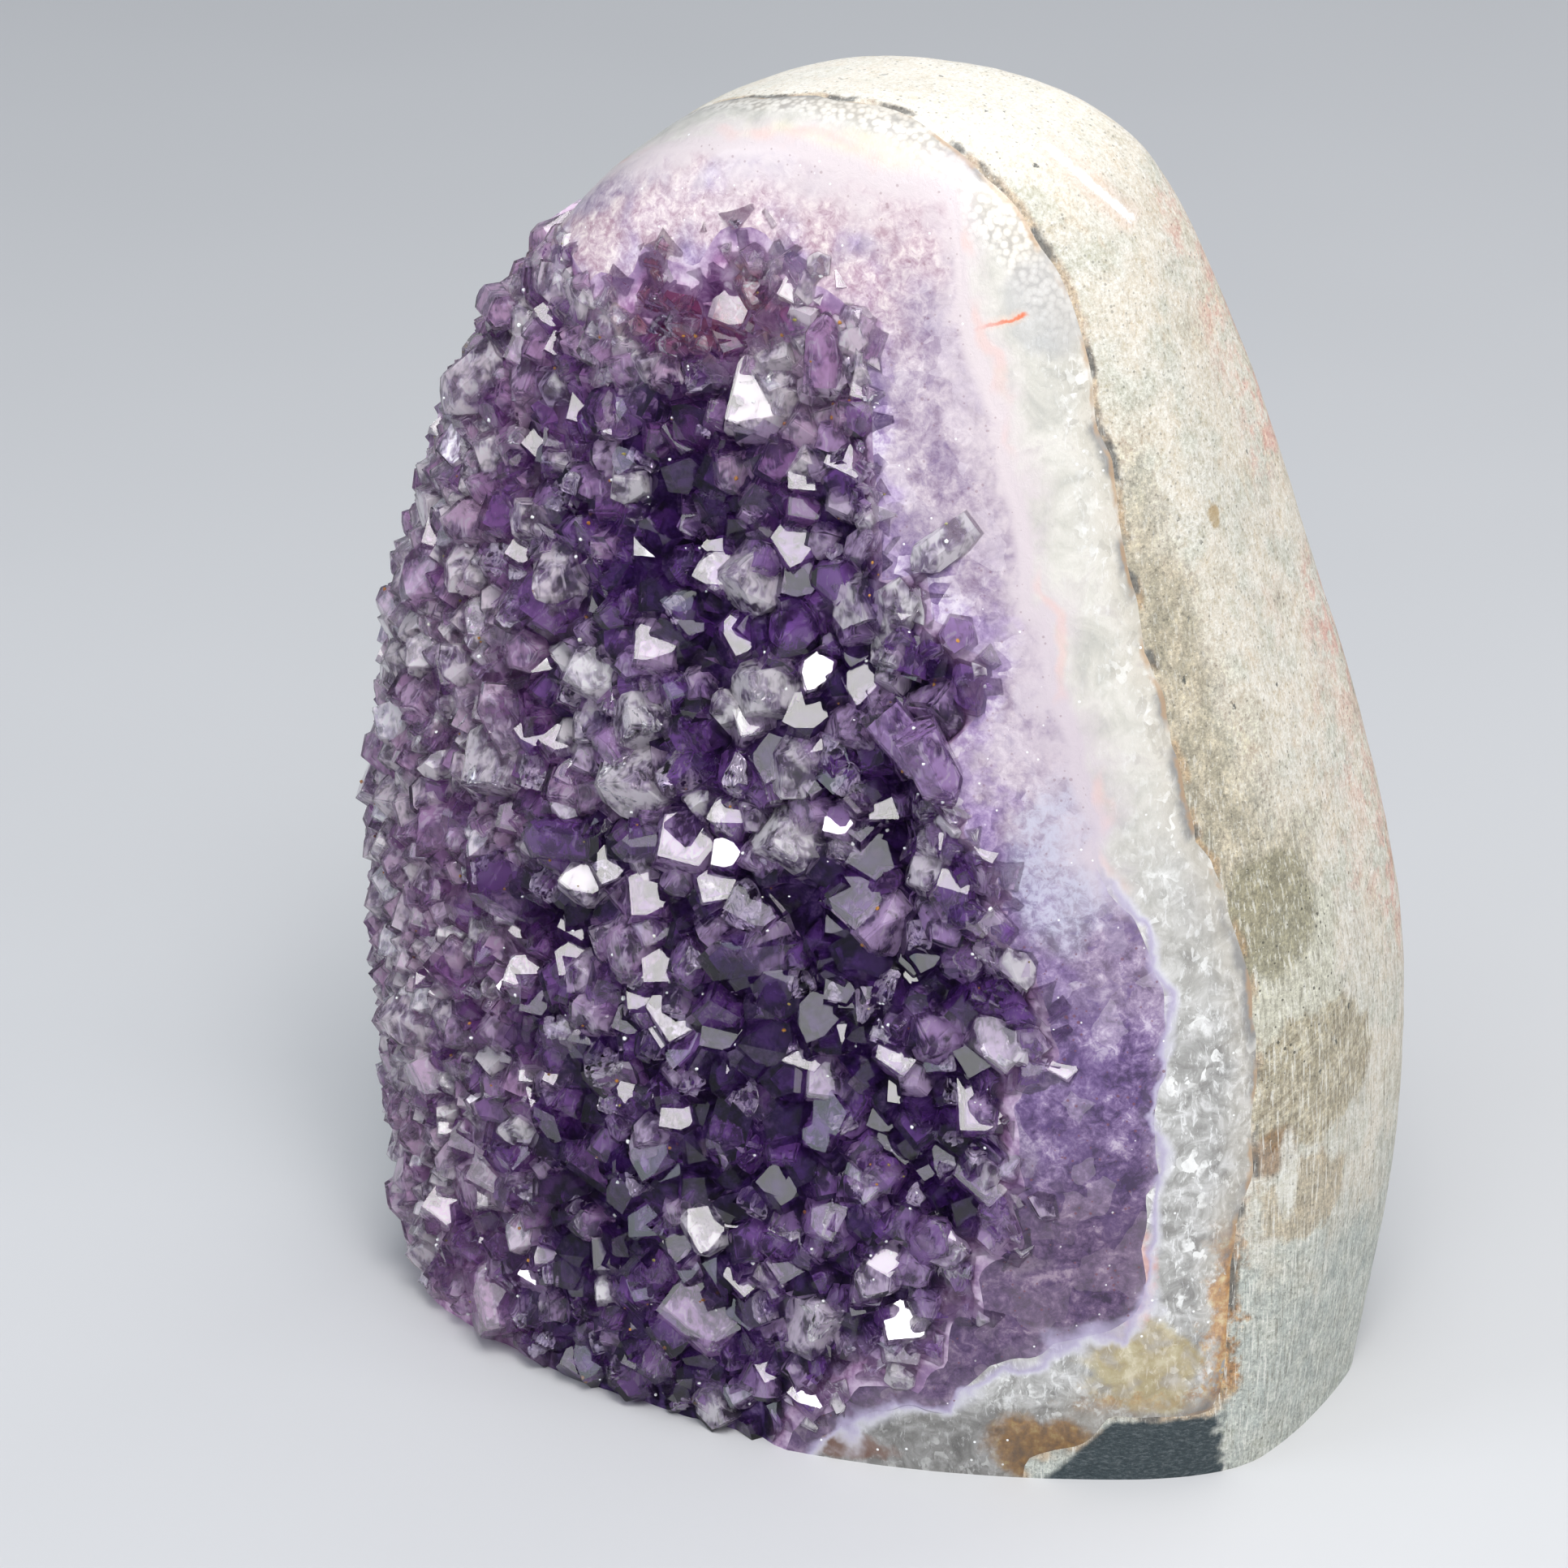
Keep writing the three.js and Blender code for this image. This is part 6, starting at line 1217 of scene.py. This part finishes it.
def growth_material():
    s = Shade("milky_growth_zone")
    tone, rnd, warm = s.attr("tone"), s.attr("rnd"), s.attr("warm")
    soft = s.noise(s.vector("ADD", s.pos, s.vector("SCALE", (13.0, 7.0, 29.0), scale=rnd)), 2.0, 2, 0.55)
    wisp = s.noise(s.pos, 0.8, 2, 0.65, 0.8, (1.0, 1.0, 0.5))
    key = s.add(tone, s.math("MULTIPLY_ADD", rnd, 0.3, -0.15))
    cool = s.ramp(key, [(0.0, srgb(104, 58, 150)), (0.33, srgb(170, 120, 208)), (0.66, srgb(230, 204, 244)), (1.0, srgb(254, 250, 254))])
    rose = s.ramp(key, [(0.0, srgb(132, 74, 150)), (0.33, srgb(196, 138, 204)), (0.66, srgb(242, 206, 236)), (1.0, srgb(254, 244, 250))])
    base = s.mix(warm, cool, rose)
    red = s.spot((-9.8, -12.8, 99.0), (8.5, 9, 5.0), 0.3, 2, 4, (1.2, 0.7))
    base = s.mix(s.mul(red, 0.75), base, srgb(168, 66, 96))
    base = s.mix(s.mul(s.fit(soft, 0.56, 0.42), 0.55), base, s.mix(tone, srgb(84, 46, 132), srgb(172, 134, 202)))
    base = s.mix(s.mul(s.fit(wisp, 0.56, 0.66), s.mul(tone, 0.8)), base, srgb(254, 252, 254))
    thick = s.fit(s.add(s.mul(soft, 0.6), s.mul(wisp, 0.4)), 0.38, 0.58, 0.12, 0.95)
    p = s.principled(Base_Color=base, Roughness=0.7, Alpha=s.mul(thick, s.fit(tone, 0.0, 1.0, 0.6, 1.0, False)), IOR=1.3)
    p.inputs["Specular IOR Level"].default_value = 0.0
    return s.mat


def fracture_material():
    s = Shade("healed_fracture")
    streak = s.noise(s.pos, 0.55, 3, 0.6, 1.2, (1.0, 1.0, 0.4))
    base = s.ramp(streak, [(0.34, (0.16, 0.13, 0.24)), (0.42, (0.70, 0.68, 0.78)), (0.50, (1.0, 1.0, 1.0))])
    edge = s.noise(s.pos, 1.1, 2, 0.5)
    s.principled(Base_Color=base, Metallic=0.55, Roughness=0.12, Alpha=s.fit(edge, 0.40, 0.47, 0.0, 1.0), Normal=s.bump(streak, 0.35, 1.0))
    return s.mat


def speck_material():
    s = Shade("iron_and_painted_glint_speck")
    # brown and olive iron colours up to 0.45; from 0.5 up near-white, a painted glint
    base = s.ramp(s.attr("rnd"), [(0.0, srgb(150, 92, 40)), (0.2, srgb(196, 140, 60)), (0.35, srgb(120, 66, 44)), (0.45, srgb(150, 146, 70)), (0.5, srgb(250, 250, 250))])
    s.principled(Base_Color=base, Roughness=0.35)
    return s.mat


# ---------------------------------------------------------------- attributes
def float_attribute(ob, name, values, domain="POINT", kind="FLOAT"):
    at = ob.data.attributes.new(name, kind, domain)
    if kind == "FLOAT":
        at.data.foreach_set("value", np.asarray(values, np.float32))
    else:
        at.data.foreach_set("vector", np.asarray(values, np.float32).ravel())


def mark_bands(ob):
    p = coords(ob)
    a, b = angles_of(p)
    r = outer(a, b)
    in_a, in_b, in_c = (mm_inside(e(a), b, r) for e in (edge_a, edge_b, edge_c))
    for name, v in (("inA", in_a), ("inB", in_b), ("inC", in_c)):
        float_attribute(ob, name, np.clip(v, -60, 60))
    rad_ = np.radians(a)
    float_attribute(ob, "band", np.stack([45 * np.cos(rad_), 45 * np.sin(rad_), in_b], 1), kind="FLOAT_VECTOR")


def finish_piece(ob, material, node, angle=35.0):
    ob.data.materials.clear()
    ob.data.materials.append(material)
    if angle:
        ob.data.polygons.foreach_set("use_smooth", np.ones(len(ob.data.polygons), bool))
        ob.data.set_sharp_from_angle(angle=math.radians(angle))
    else:
        ob.data.polygons.foreach_set("use_smooth", np.zeros(len(ob.data.polygons), bool))
    ob.data.update()
    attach(ob, "root")
    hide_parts(node)


for ob in (rock, quartz, violet):
    mark_bands(ob)
finish_piece(rock, rock_material(), "basalt_matrix")
finish_piece(quartz, quartz_material(), "quartz_band")
finish_piece(violet, violet_rim_material(), "amethyst_druse")
q = coords(violet)
xs, zs = q[:, 0] + SHIFT[0] + 5 * noise(q, 5, 81), q[:, 2] + 4 * noise(q, 5, 83)
float_attribute(violet, "pale", np.maximum(smooth((-20 - xs) / 12), smooth((zs - 88) / 9)))
violet.data.materials.append(violet_floor_material())
mid = np.empty(len(violet.data.polygons) * 3)
violet.data.polygons.foreach_get("center", mid)
mid = mid.reshape(-1, 3) / MM - SHIFT
al, be = angles_of(mid)
violet.data.polygons.foreach_set("material_index", (mm_inside(edge_a(al), be, outer(al, be)) > 0.2).astype(np.int32))

# tone of each crystal face, from the crystal it belongs to
cen = np.empty(len(glass.data.polygons) * 3)
glass.data.polygons.foreach_get("center", cen)
cen = cen.reshape(-1, 3) / MM - SHIFT
who = owners(cen)
tones = np.array([c.tone for c in crystals]) / 3.0
rnds = np.array([c.rnd for c in crystals])
float_attribute(glass, "tone", tones[who], "FACE")
float_attribute(glass, "rnd", rnds[who], "FACE")
finish_piece(glass, crystal_material(), "amethyst_druse", None)

# milky and violet growth zones sealed in the crystals
def icosphere(level):
    g = (1 + 5**0.5) / 2
    v = [(-1, g, 0), (1, g, 0), (-1, -g, 0), (1, -g, 0), (0, -1, g), (0, 1, g), (0, -1, -g), (0, 1, -g), (g, 0, -1), (g, 0, 1), (-g, 0, -1), (-g, 0, 1)]
    v = [unit(np.array(q, float)) for q in v]
    f = [(0, 11, 5), (0, 5, 1), (0, 1, 7), (0, 7, 10), (0, 10, 11), (1, 5, 9), (5, 11, 4), (11, 10, 2), (10, 7, 6), (7, 1, 8),
         (3, 9, 4), (3, 4, 2), (3, 2, 6), (3, 6, 8), (3, 8, 9), (4, 9, 5), (2, 4, 11), (6, 2, 10), (8, 6, 7), (9, 8, 1)]
    for _ in range(level):
        cache, out = {}, []

        def middle(a, b):
            key = (min(a, b), max(a, b))
            if key not in cache:
                cache[key] = len(v)
                v.append(unit(v[a] + v[b]))
            return cache[key]

        for a, b, c in f:
            x, y, z = middle(a, b), middle(b, c), middle(c, a)
            out += [(a, x, z), (b, y, x), (c, z, y), (x, y, z)]
        f = out
    return np.array(v), np.array(f)


BALLS = [icosphere(k) for k in (1, 2, 3)]
pv, pf, ptone, prnd, pwarm, base_i = [], [], [], [], [], 0
for number, c in enumerate(crystals):
    centre = c.tip - c.axis * c.width * 0.8
    if c.tip[2] < 1.0 or (c.tone == 0 and c.rnd < 0.3 and centre[2] > 3):
        continue
    share = (0.66, 0.76, 0.85, 0.92)[c.tone] + 0.04 * (c.rnd - 0.5)
    skew = c.width * 0.03 * rng.uniform(-1, 1, 3)
    v = centre + skew + share * (c.verts - centre)
    peak = centre + skew + share * (c.tip - centre)
    if peak[2] < 0.5:
        continue
    below = v[:, 2] < 0.25
    v[below] = peak + (v[below] - peak) * ((0.25 - peak[2]) / (v[below, 2] - peak[2]))[:, None]
    pv.append(v)
    pf += [[base_i + i for i in face] for face in c.faces]
    where = c.tip + SHIFT
    stray = 9.0 * math.sin(c.rnd * 57.0)
    warm = float(max(smooth(np.array((-6 - where[0] + stray) / 34.0)), smooth(np.array((where[2] - 76 + 0.7 * stray) / 24.0))))
    ptone += [c.tone / 3.0] * len(v)
    prnd += [c.rnd] * len(v)
    pwarm += [warm] * len(v)
    base_i += len(v)
growth = mesh_object("growth_zones", np.vstack(pv), pf)
float_attribute(growth, "tone", ptone)
float_attribute(growth, "rnd", prnd)
float_attribute(growth, "warm", pwarm)
finish_piece(growth, growth_material(), "amethyst_druse", None)
print("growth zones", len(growth.data.polygons))

# silvery crumpled fractures: where the photo shows them, and in some other crystals
PLACE = np.array([-0.0076715, 0.0004932, 0.049933]) * 1000
RIGHT, UP = np.array([0.913545, 0.406737, 0.0]), np.array([-0.165435, 0.371572, 0.913545])


def on_photo(p):
    """Position on the 1932 pixel picture of points given from the inner point's frame."""
    q = np.asarray(p) + SHIFT - PLACE
    depth = 520.0 - q @ VIEW
    k = 135.9 / 36.0 * 1932
    return np.stack([966 + k * (q @ RIGHT) / depth, 966 - k * (q @ UP) / depth], -1)


def crumpled(centre, normal, size, seed, level):
    """A thin closed sheet with a folded surface."""
    ball, faces = BALLS[level]
    e1, e2 = basis(normal)
    u, v, w = ball @ e1, ball @ e2, ball @ normal
    p = np.stack([u * size * 0.5, v * size * 0.42], 1)
    flat = np.stack([p[:, 0], p[:, 1], 0 * u], 1)
    fold = 0.16 * size * noise(flat + seed * 9.1, size * 0.36, 71) + 0.07 * size * np.abs(noise(flat + seed * 5.3, size * 0.16, 72))
    edge = 1 + 0.25 * noise(flat * 1.3 + seed, size * 0.5, 73)
    out = centre + np.outer(p[:, 0] * edge, e1) + np.outer(p[:, 1] * edge, e2) + np.outer(fold + 0.05 * w, normal)
    return out, faces


WANTED = [(781, 893), (749, 960), (930, 835), (890, 960), (958, 1042), (790, 975), (1012, 1622), (1107, 1632), (1066, 1504), (911, 705), (748, 1075), (640, 950), (1010, 880), (860, 1010), (700, 1100),
          (1130, 1180), (830, 1190), (905, 1110), (620, 1210), (1180, 1350), (760, 1330), (980, 1250), (560, 1080), (540, 1400), (1090, 800)]
seen = on_photo(np.array([c.tip for c in crystals]))
bearing = np.array([c.tip @ VIEW for c in crystals])
chosen = []
for q in WANTED:
    score = np.linalg.norm(seen - q, axis=1) / 18.0 - 0.35 * np.array([c.width for c in crystals])
    score[[k for k, _ in chosen]] = 1e9
    chosen.append((int(np.argmin(score)), 1.0))
for k, c in enumerate(crystals):
    if c.width > 3.4 and c.rnd > 0.80 and all(k != j for j, _ in chosen):
        chosen.append((k, 0.75))
fv, ff, base_i = [], [], 0
for k, scale in chosen:
    c = crystals[k]
    for part in range(2 if scale == 1.0 else 1):
        normal = unit(VIEW + rng.normal(0, 0.35, 3))
        centre = c.tip - c.axis * c.width * rng.uniform(0.30, 0.46) + VIEW * 0.05 * c.width
        v, f = crumpled(centre, normal, c.width * rng.uniform(0.62, 0.85), k * 1.7 + part, 2 if scale == 1.0 else 1)
        gap = ((v - c.tip) @ c.n.T - c.d).max(1)
        pull = np.clip(1 - (gap + 0.12) / 1.2, 0.25, 1)[:, None]
        v = centre + (v - centre) * np.where((gap > -0.12)[:, None], pull * 0.8, 1.0)
        v[:, 2] = np.maximum(v[:, 2], 0.3)
        fv.append(v)
        ff.append(f + base_i)
        base_i += len(v)
fractures = mesh_object("healed_fractures", np.vstack(fv), np.concatenate(ff).tolist())
finish_piece(fractures, fracture_material(), "amethyst_druse", 30.0)

# tiny iron specks sitting on the crystals; about half of them are near-white balls, painted glints
sv, sf, srnd, base_i = [], [], [], 0
area = np.empty(len(glass.data.polygons))
glass.data.polygons.foreach_get("area", area)
facing = np.empty(len(area) * 3)
glass.data.polygons.foreach_get("normal", facing)
facing = facing.reshape(-1, 3)
weight = area * ((facing @ np.array([0, -1.0, 0.3])) > 0.1)
for k in rng.choice(len(area), 320, p=weight / weight.sum()):
    corners = [np.array(glass.data.vertices[i].co) / MM - SHIFT for i in glass.data.polygons[int(k)].vertices]
    q = rng.dirichlet(np.ones(len(corners))) @ np.array(corners)
    if q[2] < 1:
        continue
    ball, faces = BALLS[0]
    size = rng.uniform(0.08, 0.2) * np.array([1, rng.uniform(0.6, 1), rng.uniform(0.6, 1.2)])
    sv.append(q + ball * size * rng.uniform(0.75, 1.2, (len(ball), 1)))
    sf.append(faces + base_i)
    srnd += [rng.uniform(0, 1)] * len(ball)
    base_i += len(ball)
specks = mesh_object("iron_and_painted_glint_specks", np.vstack(sv), np.concatenate(sf).tolist())
float_attribute(specks, "rnd", srnd)
finish_piece(specks, speck_material(), "amethyst_druse", 40.0)


# ------------------------------------------------------- floor, light, camera
def floor_material():
    s = Shade("floor_pale")
    s.principled(Base_Color=s.mix(s.noise(s.pos, 60, 1), (0.60, 0.60, 0.61), (0.63, 0.63, 0.64)), Roughness=0.6)
    return s.mat


ground = mesh_object("floor", [(-3, -3, 0), (3, -3, 0), (3, 3, 0), (-3, 3, 0)], [(0, 1, 2, 3)], False)
ground.data.materials.append(floor_material())


def softbox(name, place, size, radiance, colour, target=(0, 0, 0.05)):
    light = bpy.data.lights.new(name, "AREA")
    light.shape = "RECTANGLE"
    light.size, light.size_y = size
    light.energy = radiance * math.pi * size[0] * size[1]
    light.color = colour
    ob = bpy.data.objects.new(name, light)
    bpy.context.scene.collection.objects.link(ob)
    ob.location = place
    ob.rotation_euler = (Vector(place) - Vector(target)).to_track_quat("Z", "Y").to_euler()
    return ob


softbox("key", tuple(KEY * 0.62 + np.array([0, 0, 0.05])), (0.22, 0.22), 7.6, (1.0, 0.97, 0.93))
softbox("key_halo", tuple(KEY * 0.66 + np.array([0, 0, 0.05])), (0.48, 0.48), 3.8, (0.97, 0.98, 1.0))
softbox("spark", tuple(KEY * 0.60 + np.array([0.03, 0, 0.05])), (0.05, 0.05), 17.0, (1.0, 1.0, 1.0))
softbox("left_fill", (-0.62, -0.62, 0.42), (0.5, 0.5), 3.0, (0.84, 0.92, 1.0))
softbox("top_blue", (-0.1, 0.05, 0.85), (0.3, 0.3), 2.4, (0.82, 0.91, 1.0))
softbox("right_fill", (0.85, -0.12, 0.5), (0.45, 0.45), 2.6, (1.0, 0.98, 0.95))
softbox("back_rim", (0.35, 0.75, 0.6), (0.6, 0.4), 2.2, (0.95, 0.97, 1.0))

world = bpy.data.worlds.new("studio")
bpy.context.scene.world = world
world.use_nodes = True
world.node_tree.nodes["Background"].inputs[0].default_value = (0.86, 0.92, 1.0, 1.0)
world.node_tree.nodes["Background"].inputs[1].default_value = 0.34

camera = bpy.data.cameras.new("camera")
camera.sensor_width = 36.0
camera.lens = 135.9
camera.clip_start, camera.clip_end = 0.05, 20.0
cam = bpy.data.objects.new("camera", camera)
bpy.context.scene.collection.objects.link(cam)
right, up, back = Vector((0.913545, 0.406737, 0.0)), Vector((-0.165435, 0.371572, 0.913545)), Vector((0.371572, -0.834565, 0.406737))
place = Vector((-0.0076715, 0.0004932, 0.049933)) + back * 0.52
m = Matrix((right, up, back)).transposed().to_4x4()
m.translation = place
cam.matrix_world = m
bpy.context.scene.camera = cam
bpy.context.scene.view_settings.view_transform = "Standard"
bpy.context.scene.cycles.max_bounces = 5
bpy.context.scene.cycles.transmission_bounces = 4
bpy.context.scene.cycles.diffuse_bounces = 2
bpy.context.scene.cycles.glossy_bounces = 3
bpy.context.scene.cycles.transparent_max_bounces = 5

drop(above)
